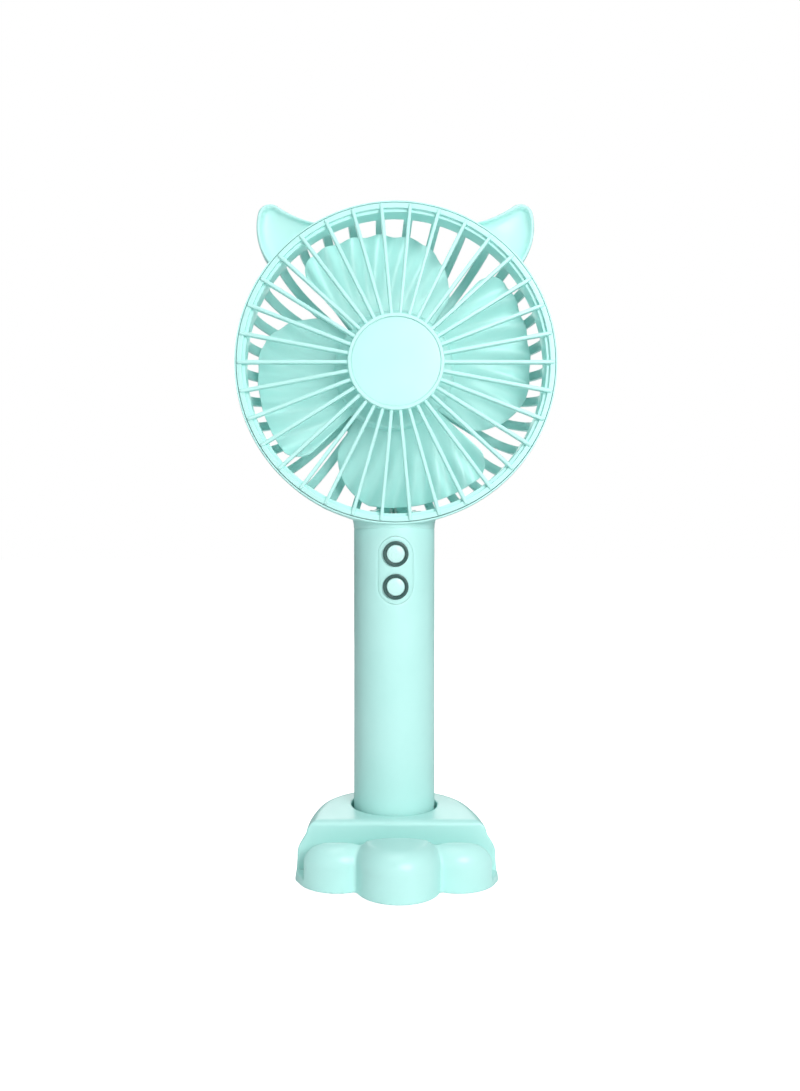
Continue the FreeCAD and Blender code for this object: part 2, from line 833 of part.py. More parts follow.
def make_impeller():
    hub = new_body("impeller_hub", HEAD)
    profile = sketch_on(hub, "YZ_Plane", "impeller_hub_profile")
    inner = "rotor_radius - rotor_wall"
    back_of_front = "-rotor_front + rotor_wall"
    outline(profile, [
        ("-rotor_front", "shaft_radius"),
        ("-rotor_front", "rotor_radius - rotor_round", ("rotor_round * 1.001", 1)),
        ("-rotor_front + rotor_round", "rotor_radius"),
        ("rotor_back", "rotor_radius"),
        ("rotor_back", inner),
        (back_of_front, inner),
        (back_of_front, "3"),
        ("1", "3"),
        ("1", "shaft_radius"),
    ])
    revolve(hub, profile, "impeller_hub_turn")

    petal = new_body("petal_outline")
    sketch = sketch_on(petal, "XZ_Plane", "petal_sketch", "-20")

    def spot(radius, turn):
        return "%s * cos(%s)" % (radius, turn), "%s * sin(%s)" % (radius, turn)

    outline(sketch, [
        spot("blade_root", "blade_low_turn"),
        spot("blade_low_corner * blade_radius", "blade_low_corner_turn")
        + (("blade_low_curve * blade_radius", 1),),
        spot("blade_radius", "blade_low_tip_turn") + (("blade_radius", 1),),
        spot("blade_radius", "blade_high_tip_turn") + (("blade_high_curve * blade_radius", 1),),
        spot("blade_high_corner * blade_radius", "blade_high_corner_turn"),
        spot("blade_root", "blade_high_turn") + (("blade_root", -1),),
    ])
    pad(petal, sketch, "petal", "40")

    slab = doc.addObject("Part::Feature", "blade_slab")
    slab.Shape = blade_solid()
    blade = common("blade", [slab, petal])
    blades = []
    for number in range(int(value("blade_count"))):
        turned = group("blade_%d" % (number + 1), [blade])
        turned.Placement = FreeCAD.Placement(Vector(), FreeCAD.Rotation(Vector(0, -1, 0), 1))
        drive(turned, "Placement.Rotation.Angle", "(blade_turn + %d * 360 / blade_count) * 1 deg" % number)
        place(turned, HEAD)
        blades.append(turned)
    # merging faces across the blade roots would spoil the solid, so they stay as they are
    impeller = fuse("impeller", [hub] + blades)
    impeller.Refine = False
    node(impeller, "impeller")


def make_rotor_metal():
    front = "-rotor_front + rotor_wall"
    outer = "rotor_radius - rotor_wall"
    side = tube("yoke_side", outer, outer + " - yoke_wall", "yoke_back - (%s)" % front,
                ("0", front, "head_height"), "y")
    face = tube("yoke_face", outer, "3", "yoke_wall", ("0", front, "head_height"), "y")
    node(fuse("rotor_yoke", [side, face]), "rotor_yoke")
    inside = outer + " - yoke_wall"
    node(tube("magnet_ring", inside, inside + " - magnet_wall", "yoke_back - 1",
              ("0", "0.4", "head_height"), "y"), "magnet_ring")
    node(cylinder("motor_shaft", "shaft_radius", "17.9", ("0", "-rotor_front + 0.1", "head_height"), "y"),
         "motor_shaft")
    node(tube("shaft_clip", "2 * shaft_radius", "shaft_radius", "0.4", ("0", "13.9", "head_height"), "y"),
         "shaft_clip")


# ---------- motor parts fixed to the housing ----------

def make_motor():
    plate_front = "(bowl_start + (bowl_big - bowl_small) * sin(shoulder_angle) + bowl_small - ring_wall)"
    stem = cylinder("mount_stem", "tube_radius", plate_front + " - tube_front",
                    ("0", "tube_front", "head_height"), "y")
    shoulder = cylinder("mount_shoulder", "shoulder_radius", plate_front + " - shoulder_front",
                        ("0", "shoulder_front", "head_height"), "y")
    flange = cylinder("mount_flange", "flange_radius", plate_front + " - flange_front",
                      ("0", "flange_front", "head_height"), "y")
    bore = cylinder("mount_bore", "tube_bore", "20", ("0", "0", "head_height"), "y")
    holes = [
        cylinder("mount_hole_%d" % number, "motor_screw_radius", "4",
                 (across, "flange_front - 1", "head_height + " + up), "y")
        for number, (across, up) in enumerate(MOTOR_SCREW_SPOTS, start=1)
    ]
    mount = fuse("mount_solid", [stem, shoulder, flange])
    node(cut("motor_mount", mount, fuse("mount_holes", [bore] + holes)), "motor_mount")
    for name, start in (("bearing_front", "tube_front + 0.3"), ("bearing_rear", "10")):
        node(tube(name, "tube_bore", "bearing_bore", "3.5", ("0", start, "head_height"), "y"), name)

    screws = []
    for number, (across, up) in enumerate(MOTOR_SCREW_SPOTS, start=1):
        height = "head_height + " + up
        head = cylinder("motor_screw_head_%d" % number, "motor_head_radius", "0.9",
                        (across, "motor_head_seat", height), "y")
        shank = cylinder("motor_screw_shank_%d" % number, "motor_screw_radius", "2.4",
                         (across, "flange_front - 0.3", height), "y")
        screws.append(fuse("motor_screw_%d" % number, [head, shank]))
    node(group("motor_screws", screws), "motor_screws")

    core = new_body("stator_core", HEAD)
    middle = sketch_on(core, "XZ_Plane", "stator_middle_outline", "-stator_front - stator_length")
    circle(middle, "stator_middle")
    circle(middle, "tube_radius")
    pad(core, middle, "stator_middle", "stator_length")
    tooth_outline = sketch_on(core, "XZ_Plane", "tooth_outline", "-stator_front - stator_length")
    root = "stator_middle - tooth_half"
    neck = "stator_radius - tooth_tip_depth"
    tip = "stator_radius * cos(tooth_tip_angle)"
    tip_half = "(stator_radius * sin(tooth_tip_angle))"
    outline(tooth_outline, [
        (root, "-tooth_half"),
        (neck, "-tooth_half"),
        (tip + " - tooth_edge", "-" + tip_half),
        (tip, "-" + tip_half, ("stator_radius", 1)),
        (tip, tip_half),
        (tip + " - tooth_edge", tip_half),
        (neck, "tooth_half"),
        (root, "tooth_half"),
    ])
    tooth = pad(core, tooth_outline, "tooth", "stator_length")
    around(core, [tooth], "teeth", "stator_teeth")
    node(core, "stator_core")

    coils = new_body("stator_coils", HEAD)
    section = sketch_on(coils, "YZ_Plane", "coil_section", "coil_start")
    start = "stator_front"
    end = "stator_front + stator_length"
    outline(section, [
        (start + " - coil_wall", "-tooth_half - coil_wall"),
        (end + " + coil_wall", "-tooth_half - coil_wall"),
        (end + " + coil_wall", "tooth_half + coil_wall"),
        (start + " - coil_wall", "tooth_half + coil_wall"),
    ])
    outline(section, [
        (start, "-tooth_half"),
        (end, "-tooth_half"),
        (end, "tooth_half"),
        (start, "tooth_half"),
    ])
    coil = pad(coils, section, "coil", "coil_length")
    around(coils, [coil], "coils", "stator_teeth")
    node(coils, "stator_coils")

    node(tube("motor_board", "motor_board_radius", "tube_radius", "1",
              ("0", "shoulder_front - 1", "head_height"), "y"), "motor_board")


def wire(name, points, radius):
    """A soft wire through given points; its free curve has no simpler form."""
    curve = Part.BSplineCurve()
    curve.interpolate([Vector(*(value(c) for c in point)) for point in points])
    start = curve.value(curve.FirstParameter)
    along = curve.tangent(curve.FirstParameter)[0]
    ring = Part.Wire(Part.makeCircle(value(radius), start, along))
    thing = doc.addObject("Part::Feature", name)
    thing.Shape = Part.Wire(curve.toShape()).makePipeShell([ring], True, True)
    return thing


def make_motor_leads():
    leads = []
    for tag, across in (("left", "-0.7"), ("right", "0.7")):
        path = (
            (across, "14.3", "head_height - 13.5"),
            (across, "15.8", "head_height - 19"),
            (across, "16.0", "head_height - 33"),
            (across, "13.6", "head_height - 41.5"),
            (across, "9.6", "head_height - 46.0"),
            (across, "6.0", "head_height - 49.3"),
            (across, "4.5", "head_height - 52.6"),
            (across, "1.2", "head_height - 57.3"),
            (across, "-3.0", "head_height - 58.8"),
            (across, "-4.9", "board_top - 3"),
        )
        leads.append(wire("motor_lead_" + tag, path, "wire_radius"))
    node(group("motor_leads", leads), "motor_leads")


# ---------- handle ----------

BUTTON_HEIGHTS = (("upper", "upper_button_height"), ("lower", "lower_button_height"))


def stadium(name, width, length, middle_height):
    """A long rounded slot seen from the front, running from the axis out to the front."""
    body = new_body(name, ("0", "0", middle_height))
    sketch = sketch_on(body, "XZ_Plane", name + "_outline")
    half = "(%s) / 2" % width
    straight = "((%s) / 2 - (%s) / 2)" % (length, width)
    outline(sketch, [
        ("-" + half, "-" + straight, ("1.0001 * " + half, 1)),
        (half, "-" + straight),
        (half, straight, ("1.0001 * " + half, 1)),
        ("-" + half, straight),
    ])
    pad(body, sketch, name + "_pad", "20")
    return body


def make_handle():
    low = "(handle_foot + tail_height)"
    outer = cylinder("handle_outside", "handle_radius", "handle_top - " + low, ("0", "0", low))
    inner = cylinder("handle_inside", "handle_radius - handle_wall", "handle_top - " + low, ("0", "0", low))
    walls = cut("handle_walls", outer, inner)
    across = "2 * handle_radius + 2"
    size = (across, "handle_radius + 1", "handle_top + 2")
    front_half = box("front_half", size, ("-handle_radius - 1", "-handle_radius - 1 - seam / 2", "0"))
    rear_half = box("rear_half", size, ("-handle_radius - 1", "seam / 2", "0"))
    slot = stadium("panel_slot", "panel_width + 2 * seam", "panel_length + 2 * seam", "panel_height")

    front_boss = cylinder("front_boss", "boss_radius", "handle_radius - 1 - seam",
                          ("0", "1 - handle_radius", "boss_height"), "y")
    front_pilot = cylinder("front_pilot", "handle_screw_radius", "10", ("0", "-7", "boss_height"), "y")
    front_walls = common("front_walls", [walls, front_half])
    front = fuse("front_with_boss", [front_walls, front_boss])
    node(cut("handle_front_shell", front, fuse("front_removed", [slot, front_pilot])), "handle_front_shell")

    rear_boss = cylinder("rear_boss", "boss_radius", "handle_radius - 1 - seam",
                         ("0", "seam", "boss_height"), "y")
    rear_walls = common("rear_walls", [walls, rear_half])
    rear = fuse("rear_with_boss", [rear_walls, rear_boss])
    port_slot = box("port_slot", ("port_width + 0.8", "10", "port_thickness + 0.8"),
                    ("-port_width / 2 - 0.4", "8.5", "port_height - 0.4"))
    removed = [
        cylinder("rear_hole", "handle_screw_radius", "20", ("0", "0", "boss_height"), "y"),
        cylinder("rear_seat", "handle_seat_radius", "10", ("0", "boss_head_seat", "boss_height"), "y"),
        cylinder("neck_hole", "handle_screw_radius", "20", ("0", "0", "neck_screw_height"), "y"),
        cylinder("neck_seat", "handle_seat_radius", "10",
                 ("0", "handle_head_seat", "neck_screw_height"), "y"),
        port_slot,
    ]
    node(cut("handle_rear_shell", rear, fuse("rear_removed", removed)), "handle_rear_shell")

    screws = []
    for tag, height, seat, length in (
        ("lower", "boss_height", "boss_head_seat", "13"),
        ("neck", "neck_screw_height", "handle_head_seat", "6"),
    ):
        head = cylinder("handle_screw_head_" + tag, "handle_head_radius", "1", ("0", seat, height), "y")
        shank = cylinder("handle_screw_shank_" + tag, "handle_screw_radius", length,
                         ("0", "%s - %s" % (seat, length), height), "y")
        screws.append(fuse("handle_screw_" + tag, [head, shank]))
    node(group("handle_screws", screws), "handle_screws")

    tail = new_body("tail_cap", ("0", "0", "handle_foot"))
    profile = sketch_on(tail, "XZ_Plane", "tail_profile")
    outline(profile, [
        ("0", "0"),
        ("handle_radius - 1.2", "0", ("1.21", 1)),
        ("handle_radius", "1.2"),
        ("handle_radius", "tail_height - seam"),
        ("handle_radius - handle_wall - seam", "tail_height - seam"),
        ("handle_radius - handle_wall - seam", "tail_height + 2.4"),
        ("handle_radius - handle_wall - 1.5", "tail_height + 2.4"),
        ("handle_radius - handle_wall - 1.5", "tail_height - 1.2"),
        ("0", "tail_height - 1.2"),
    ])
    revolve(tail, profile, "tail_turn", axis="V_Axis")
    node(tail, "tail_cap")


def make_buttons():
    plug = stadium("panel_plug", "panel_width", "panel_length", "panel_height")
    skin = tube("panel_skin", "handle_radius - 0.05", "handle_radius - panel_thickness", "40",
                ("0", "0", "panel_height - 20"))
    holes = [
        cylinder(tag + "_ring_hole", "button_ring_outer", "20", ("0", "-20", height), "y")
        for tag, height in BUTTON_HEIGHTS
    ]
    blank = common("panel_blank", [plug, skin])
    node(cut("button_panel", blank, fuse("ring_holes", holes)), "button_panel")
    for tag, height in BUTTON_HEIGHTS:
        node(tube(tag + "_button_ring", "button_ring_outer", "button_ring_inner", "button_ring_length",
                  ("0", "-button_ring_front", height), "y"), tag + "_button_ring")
        cap = new_body(tag + "_button", ("0", "0", height))
        profile = sketch_on(cap, "YZ_Plane", tag + "_button_profile")
        outline(profile, [
            ("-button_front", "0"),
            ("-button_stem_back", "0"),
            ("-button_stem_back", "button_stem"),
            ("-button_flange_back", "button_stem"),
            ("-button_flange_back", "button_flange"),
            ("-button_flange_front", "button_flange"),
            ("-button_flange_front", "button_radius"),
            ("button_dome - button_front", "button_radius",
             ("(button_radius ^ 2 + button_dome ^ 2) / (2 * button_dome)", 1)),
        ])
        revolve(cap, profile, tag + "_button_turn")
        node(cap, tag + "_button")


# ---------- electronics ----------

def make_electronics():
    node(box("control_board", ("board_width", "1", "board_top - board_bottom"),
             ("-board_width / 2", "-board_face", "board_bottom")), "control_board")
    switches = []
    for tag, height in BUTTON_HEIGHTS:
        base = box(tag + "_switch_base", ("6", "1.6", "6"), ("-3", "-board_face - 1.6", height + " - 3"))
        nib = cylinder(tag + "_switch_nib", "1.6", "0.5", ("0", "-board_face - 2.1", height), "y")
        switches.append(fuse(tag + "_switch", [base, nib]))
    node(group("tact_switches", switches), "tact_switches")
    chip_face = "1 - board_face"
    chips = [
        box("charge_chip", ("5", "1.5", "4"), ("-6.5", chip_face, "board_bottom + 3")),
        box("drive_chip", ("5", "1.5", "4"), ("-6.5", chip_face, "board_bottom + 12")),
        cylinder("coil_part", "2.5", "3", ("4.5", chip_face, "board_bottom + 14"), "y"),
    ]
    node(group("board_parts", chips), "board_parts")
    node(box("charge_board", ("11", "7.8", "1"), ("-5.5", "2", "port_height - 1")), "charge_board")
    shell = box("port_shell", ("port_width", "5.1", "port_thickness"),
                ("-port_width / 2", "7.8", "port_height"))
    cavity = box("port_cavity", ("port_width - 0.6", "4.5", "port_thickness - 0.6"),
                 ("-port_width / 2 + 0.3", "8.6", "port_height + 0.3"))
    tongue = box("port_tongue", ("port_width - 3.5", "3.6", "0.6"),
                 ("-port_width / 2 + 1.75", "8.4", "port_height + port_thickness / 2 - 0.3"))
    node(fuse("usb_port", [cut("port_hollow", shell, cavity), tongue]), "usb_port")

    can = cylinder("cell_can", "battery_radius", "battery_length", ("0", "0", "battery_bottom"))
    nub = cylinder("cell_nub", "3", "0.8", ("0", "0", "battery_bottom + battery_length"))
    node(fuse("battery_cell", [can, nub]), "battery_cell")
    tabs = [
        box("tab_bottom", ("7", "7", "0.3"), ("-3.5", "-3.5", "battery_bottom - 0.3")),
        box("tab_top", ("7", "5", "0.3"), ("-3.5", "-2.5", "battery_bottom + battery_length + 0.8")),
    ]
    node(group("battery_tabs", tabs), "battery_tabs")
    top = "battery_bottom + battery_length"
    top_lead = wire("battery_lead_top", (
        ("3.0", "0", top + " + 1.7"),
        ("5.4", "-1.2", top + " + 3.6"),
        ("5.8", "-3.6", top + " + 7"),
        ("5.4", "-4.9", "board_bottom + 2"),
    ), "wire_radius")
    bottom_lead = wire("battery_lead_bottom", (
        ("2.4", "2.4", "battery_bottom - 0.9"),
        ("5.4", "6.9", "battery_bottom - 1.1"),
        ("6.15", "8.05", "battery_bottom + 0.9"),
        ("6.2", "8.2", "battery_bottom + 6.0"),
        ("6.25", "8.25", "battery_bottom + 12"),
        ("6.25", "8.25", "battery_bottom + 32"),
        ("6.25", "8.25", top + " - 12"),
        ("6.25", "8.25", top + " - 1"),
        ("6.0", "5.5", top + " + 5"),
        ("6.0", "-1.0", "board_bottom + 2"),
        ("3.0", "-4.9", "board_bottom + 6"),
    ), "wire_radius")
    node(group("battery_leads", [top_lead, bottom_lead]), "battery_leads")


# ---------- build, check and write ----------

make_holder()
make_rear_housing()
make_front_grille()
make_impeller()
make_rotor_metal()
make_motor()
make_motor_leads()
make_handle()
make_buttons()
make_electronics()
doc.recompute()

for thing in doc.Objects:
    if "Invalid" in thing.State or "Error" in thing.State:
        raise RuntimeError("%s is %s: %s" % (thing.Name, thing.State, thing.getStatusString()))

os.makedirs("parts", exist_ok=True)
for thing in NODES:
    shape = thing.Shape
    if shape.isNull() or not shape.isValid() or not shape.Solids:
        raise RuntimeError("%s has no sound shape" % thing.Label)
    print("%-20s %8.0f mm3, %d solids" % (thing.Label, shape.Volume, len(shape.Solids)))
    shape.exportStep("parts/%s.step" % thing.Label)
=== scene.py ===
import json
import math

import bmesh
import bpy
import numpy as np
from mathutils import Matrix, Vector


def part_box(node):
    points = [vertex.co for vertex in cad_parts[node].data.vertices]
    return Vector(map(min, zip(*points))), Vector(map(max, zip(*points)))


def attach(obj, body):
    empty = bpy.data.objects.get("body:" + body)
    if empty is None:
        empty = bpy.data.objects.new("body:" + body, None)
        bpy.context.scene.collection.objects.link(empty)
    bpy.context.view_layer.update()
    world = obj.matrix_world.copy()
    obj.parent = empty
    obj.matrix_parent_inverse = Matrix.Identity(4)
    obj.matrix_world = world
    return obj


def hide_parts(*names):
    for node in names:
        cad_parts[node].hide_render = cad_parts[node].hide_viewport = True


# Handheld fan with cat ears in a paw-shaped holder.
# The pieces are in millimetres in the CAD frame: handle axis on Z, front toward -Y. Depths in materials are
# in metres, and so are the floor, the lights and the camera.

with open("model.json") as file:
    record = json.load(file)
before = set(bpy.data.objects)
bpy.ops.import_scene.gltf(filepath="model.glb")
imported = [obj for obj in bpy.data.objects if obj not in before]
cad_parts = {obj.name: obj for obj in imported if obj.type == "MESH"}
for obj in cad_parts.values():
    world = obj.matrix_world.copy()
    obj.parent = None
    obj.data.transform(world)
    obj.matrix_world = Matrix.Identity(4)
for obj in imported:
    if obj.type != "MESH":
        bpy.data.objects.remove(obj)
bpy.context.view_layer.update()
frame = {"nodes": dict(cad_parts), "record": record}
scene = bpy.context.scene

MM = 0.001


def extent(node, axis):
    """Lowest and highest place of a CAD node along one axis, in millimetres."""
    low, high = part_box(node)
    return low[axis] / MM, high[axis] / MM


X, Y, Z = 0, 1, 2
HEAD = np.array([0.0, 0.0, sum(extent("front_cap", Z)) / 2])
# The ring is 0.01 inside the CAD's, so that nothing stands out of its box.
RING_RADIUS = 51.99
HANDLE_RADIUS = extent("handle_front_shell", X)[1]
HANDLE_LOW, HANDLE_TOP = extent("handle_front_shell", Z)
FULL_TURN = 2 * math.pi


# ---------- pieces from points and faces ----------

def put(name, form, body, material, stands_for=(), sharp=38):
    """Show a form, given as points in millimetres and faces, as one piece on a body."""
    points, faces = form
    mesh = bpy.data.meshes.new(name)
    mesh.from_pydata((np.asarray(points) * MM).tolist(), [], faces)
    work = bmesh.new()
    work.from_mesh(mesh)
    bmesh.ops.remove_doubles(work, verts=work.verts, dist=1e-7)
    bmesh.ops.recalc_face_normals(work, faces=work.faces)
    work.to_mesh(mesh)
    work.free()
    mesh.shade_smooth()
    mesh.set_sharp_from_angle(angle=math.radians(sharp))
    mesh.materials.append(material)
    piece = bpy.data.objects.new(name, mesh)
    scene.collection.objects.link(piece)
    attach(piece, body)
    if stands_for:
        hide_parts(*stands_for)


def join(*forms):
    """Several forms as one."""
    points = []
    faces = []
    for form_points, form_faces in forms:
        first = sum(len(block) for block in points)
        points.append(np.asarray(form_points, float))
        faces += [[corner + first for corner in face] for face in form_faces]
    return np.concatenate(points), faces


def loft(loops, closed=False):
    """Faces between neighbouring loops of points; each loop is joined to itself."""
    count = len(loops[0])
    faces = []
    rows = len(loops) if closed else len(loops) - 1
    for row in range(rows):
        here = row * count
        there = (row + 1) % len(loops) * count
        for step in range(count):
            after = (step + 1) % count
            faces.append([here + step, here + after, there + after, there + step])
    return np.concatenate(loops), faces


def lathe(profile, axis, centre, steps=192):
    """A turned solid: a closed loop of (radius, along) swept round a Y or Z axis."""
    turn = np.linspace(0, FULL_TURN, steps, endpoint=False)
    loops = []
    for radius, along in profile:
        across = radius * np.cos(turn)
        other = radius * np.sin(turn)
        level = np.full(steps, along)
        order = (across, level, other) if axis == Y else (across, other, level)
        loops.append(np.stack(order, axis=1) + centre)
    return loft(loops, closed=True)


def soften(corners, steps=6):
    """A closed outline with its corners, given as (x, y, cut), rounded over cut each side."""
    rounded = []
    for index, (x, y, cut) in enumerate(corners):
        corner = np.array([x, y], float)
        if cut == 0:
            rounded.append(corner)
            continue
        before = np.array(corners[index - 1][:2], float) - corner
        after = np.array(corners[(index + 1) % len(corners)][:2], float) - corner
        start = corner + before / np.linalg.norm(before) * cut
        end = corner + after / np.linalg.norm(after) * cut
        for t in np.linspace(0, 1, steps):
            rounded.append((1 - t) ** 2 * start + 2 * t * (1 - t) * corner + t * t * end)
    return rounded


def polar(radius, degrees):
    """The point at a radius and an angle."""
    return radius * np.array([math.cos(math.radians(degrees)), math.sin(math.radians(degrees))])


def turned(form, angle):
    """A form turned about the head's axis, counter-clockwise seen from the front."""
    points, faces = form
    cosine, sine = math.cos(angle), math.sin(angle)
    turn = np.array([[cosine, 0, -sine], [0, 1, 0], [sine, 0, cosine]])
    return points @ turn.T, faces


def arc(start, end, radius, bulge, count):
    """Points from start up to end on an arc; bulge +1 swells to the right of the way along."""
    start = np.array(start, float)
    end = np.array(end, float)
    chord = end - start
    length = np.linalg.norm(chord)
    right = np.array([chord[1], -chord[0]]) / length
    centre = (start + end) / 2 - right * bulge * math.sqrt(radius ** 2 - length ** 2 / 4)
    first = math.atan2(*(start - centre)[::-1])
    last = math.atan2(*(end - centre)[::-1])
    sweep = (last - first + math.pi) % FULL_TURN - math.pi
    turns = first + sweep * np.arange(count) / count
    return centre + radius * np.stack([np.cos(turns), np.sin(turns)], axis=1)


# ---------- thin walls cut from a grid ----------

# Keeps a step toward a surface finite where its field is nearly flat.
LEAST_SLOPE = 0.2


def border(kept, around):
    """Grid points on the edge of the kept cells."""
    rows, columns = kept.shape
    near = np.zeros((rows + 1, columns if around else columns + 1), int)
    for down in (0, 1):
        for along in (0, 1):
            part = kept.astype(int)
            if around:
                near[down:down + rows] += np.roll(part, along, axis=1)
            else:
                near[down:down + rows, along:along + columns] += part
    return (near > 0) & (near < 4)


def wall(outer, inner, kept, around):
    """A closed wall between an outer and an inner grid of points, open where cells aren't kept."""
    rows, columns = kept.shape
    across = outer.shape[1]
    total = outer.shape[0] * across
    faces = []
    for row, column in zip(*np.nonzero(kept)):
        near_left = row * across + column
        near_right = row * across + (column + 1) % across
        far_left = near_left + across
        far_right = near_right + across
        faces.append([near_left, near_right, far_right, far_left])
        faces.append([corner + total for corner in (far_left, far_right, near_right, near_left)])
        left = (column - 1) % columns if around else column - 1
        right = (column + 1) % columns if around else column + 1
        sides = (
            (row - 1, column, near_left, near_right), (row + 1, column, far_right, far_left),
            (row, left, far_left, near_left), (row, right, near_right, far_right),
        )
        for beside_row, beside_column, start, end in sides:
            outside = not (0 <= beside_row < rows and 0 <= beside_column < columns)
            if outside or not kept[beside_row, beside_column]:
                faces.append([end, start, start + total, end + total])
    return np.concatenate([outer.reshape(-1, 3), inner.reshape(-1, 3)]), faces


def trim(across, up, room):
    """A flat grid cut along the edge where room(u, v) falls to zero. Returns the moved grid,
    its kept cells and the points on the cut."""
    u, v = np.meshgrid(across, up)
    middle_u = (u[:-1, :-1] + u[1:, 1:]) / 2
    middle_v = (v[:-1, :-1] + v[1:, 1:]) / 2
    kept = room(middle_u, middle_v) > 0
    edge = border(kept, False)
    edge[0] = edge[-1] = False
    edge[:, 0] = edge[:, -1] = False
    small = 0.01
    rounds = 4
    for _ in range(rounds):
        level = room(u, v)
        slope_u = (room(u + small, v) - room(u - small, v)) / (2 * small)
        slope_v = (room(u, v + small) - room(u, v - small)) / (2 * small)
        steep = np.maximum(slope_u ** 2 + slope_v ** 2, LEAST_SLOPE)
        u = np.where(edge, u - level * slope_u / steep, u)
        v = np.where(edge, v - level * slope_v / steep, v)
    return u, v, kept, edge


def stadium_room(x, z, half_width, half_length):
    """Distance outside a long rounded slot that stands upright about the origin."""
    straight = half_length - half_width
    return np.hypot(x, z - np.clip(z, -straight, straight)) - half_width


# ---------- solids from a distance field ----------

def soft_max(a, b, radius):
    """The common part of two solids, with its edge rounded."""
    both = np.hypot(np.maximum(a + radius, 0), np.maximum(b + radius, 0))
    return np.minimum(np.maximum(a, b), -radius) + both


def soft_min(a, b, radius):
    """Two solids joined, with a fillet between them."""
    return -soft_max(-a, -b, radius)


def solid(field, low, high, cell):
    """A closed mesh round the points where field is below zero, settled onto the surface."""
    axes = [np.arange(a - cell, b + 2 * cell, cell) for a, b in zip(low, high)]
    grid = np.meshgrid(*axes, indexing="ij")
    inside = field(*grid) < 0
    wide, deep, tall = np.array(inside.shape) - 1
    corners_inside = sum(
        inside[i:wide + i, j:deep + j, k:tall + k].astype(int)
        for i in (0, 1) for j in (0, 1) for k in (0, 1)
    )
    crossed = (corners_inside > 0) & (corners_inside < 8)
    index = np.full(crossed.shape, -1)
    index[crossed] = np.arange(crossed.sum())
    where = np.stack(np.nonzero(crossed), axis=1)
    points = np.array([axis[0] for axis in axes]) + (where + 0.5) * cell
    small = 0.02
    rounds = 5
    for _ in range(rounds):
        level = field(*points.T)
        slope = np.stack([
            (field(*(points + step).T) - field(*(points - step).T)) / (2 * small)
            for step in np.eye(3) * small
        ], axis=1)
        steep = np.maximum((slope ** 2).sum(axis=1), LEAST_SLOPE)
        move = slope * (level / steep)[:, None]
        points = points - np.clip(move, -cell, cell)
    faces = []
    for axis in (X, Y, Z):
        second, third = (axis + 1) % 3, (axis + 2) % 3
        lead = [slice(1, -1)] * 3
        lead[axis] = slice(0, -1)
        follow = [slice(1, -1)] * 3
        follow[axis] = slice(1, None)
        here, there = inside[tuple(lead)], inside[tuple(follow)]
        change = np.stack(np.nonzero(here != there), axis=1)
        outward = here[tuple(change.T)]
        place = change + 1
        place[:, axis] -= 1
        ring = []
        for down_second, down_third in ((1, 1), (0, 1), (0, 0), (1, 0)):
            cell_at = place.copy()
            cell_at[:, second] -= down_second
            cell_at[:, third] -= down_third
            ring.append(index[tuple(cell_at.T)])
        ring = np.stack(ring, axis=1)
        ring[~outward] = ring[~outward][:, ::-1]
        faces += ring.tolist()
    return points, faces


# ---------- materials ----------

def new_material(name):
    """A material with its node tree and its main shader."""
    material = bpy.data.materials.new(name)
    material.use_nodes = True
    tree = material.node_tree
    return material, tree, tree.nodes["Principled BSDF"]


def add_node(tree, kind, **inputs):
    """A shader node with its sockets set by name."""
    node = tree.nodes.new(kind)
    for label, number in inputs.items():
        node.inputs[label.replace("_", " ")].default_value = number
    return node


def grain(tree, scale, detail=4.0, stretch=(1, 1, 1)):
    """Noise that sits still on the object, sized by scale per metre."""
    place = tree.nodes.new("ShaderNodeTexCoord")
    mapping = tree.nodes.new("ShaderNodeMapping")
    mapping.inputs["Scale"].default_value = stretch
    noise = add_node(tree, "ShaderNodeTexNoise", Scale=scale, Detail=detail)
    tree.links.new(place.outputs["Object"], mapping.inputs["Vector"])
    tree.links.new(mapping.outputs["Vector"], noise.inputs["Vector"])
    return noise.outputs["Fac"]


def ramp(tree, source, low, high, start=0.35, end=0.65):
    """Spread a factor over a range of numbers or colours."""
    if isinstance(low, tuple):
        node = tree.nodes.new("ShaderNodeValToRGB")
        node.color_ramp.elements[0].position = start
        node.color_ramp.elements[1].position = end
        node.color_ramp.elements[0].color = low + (1.0,)
        node.color_ramp.elements[1].color = high + (1.0,)
        tree.links.new(source, node.inputs["Fac"])
        return node.outputs["Color"]
    node = tree.nodes.new("ShaderNodeMapRange")
    for label, number in zip(("From Min", "From Max", "To Min", "To Max"), (start, end, low, high)):
        node.inputs[label].default_value = number
    tree.links.new(source, node.inputs["Value"])
    return node.outputs["Result"]


def bump(tree, shader, source, depth):
    """Raise the surface by up to depth metres where the source is high."""
    node = add_node(tree, "ShaderNodeBump", Strength=1.0, Distance=depth)
    tree.links.new(source, node.inputs["Height"])
    tree.links.new(node.outputs["Normal"], shader.inputs["Normal"])


def plastic(name, deep, pale, rough_low, rough_high, skin=0.000004):
    """Moulded plastic: faint flow tint, uneven polish and a fine mould skin."""
    material, tree, shader = new_material(name)
    tree.links.new(ramp(tree, grain(tree, 45.0), deep, pale), shader.inputs["Base Color"])
    polish = ramp(tree, grain(tree, 260.0, 6.0), rough_low, rough_high)
    tree.links.new(polish, shader.inputs["Roughness"])
    bump(tree, shader, grain(tree, 5200.0, 3.0), skin)
    shader.inputs["IOR"].default_value = 1.49
    return material


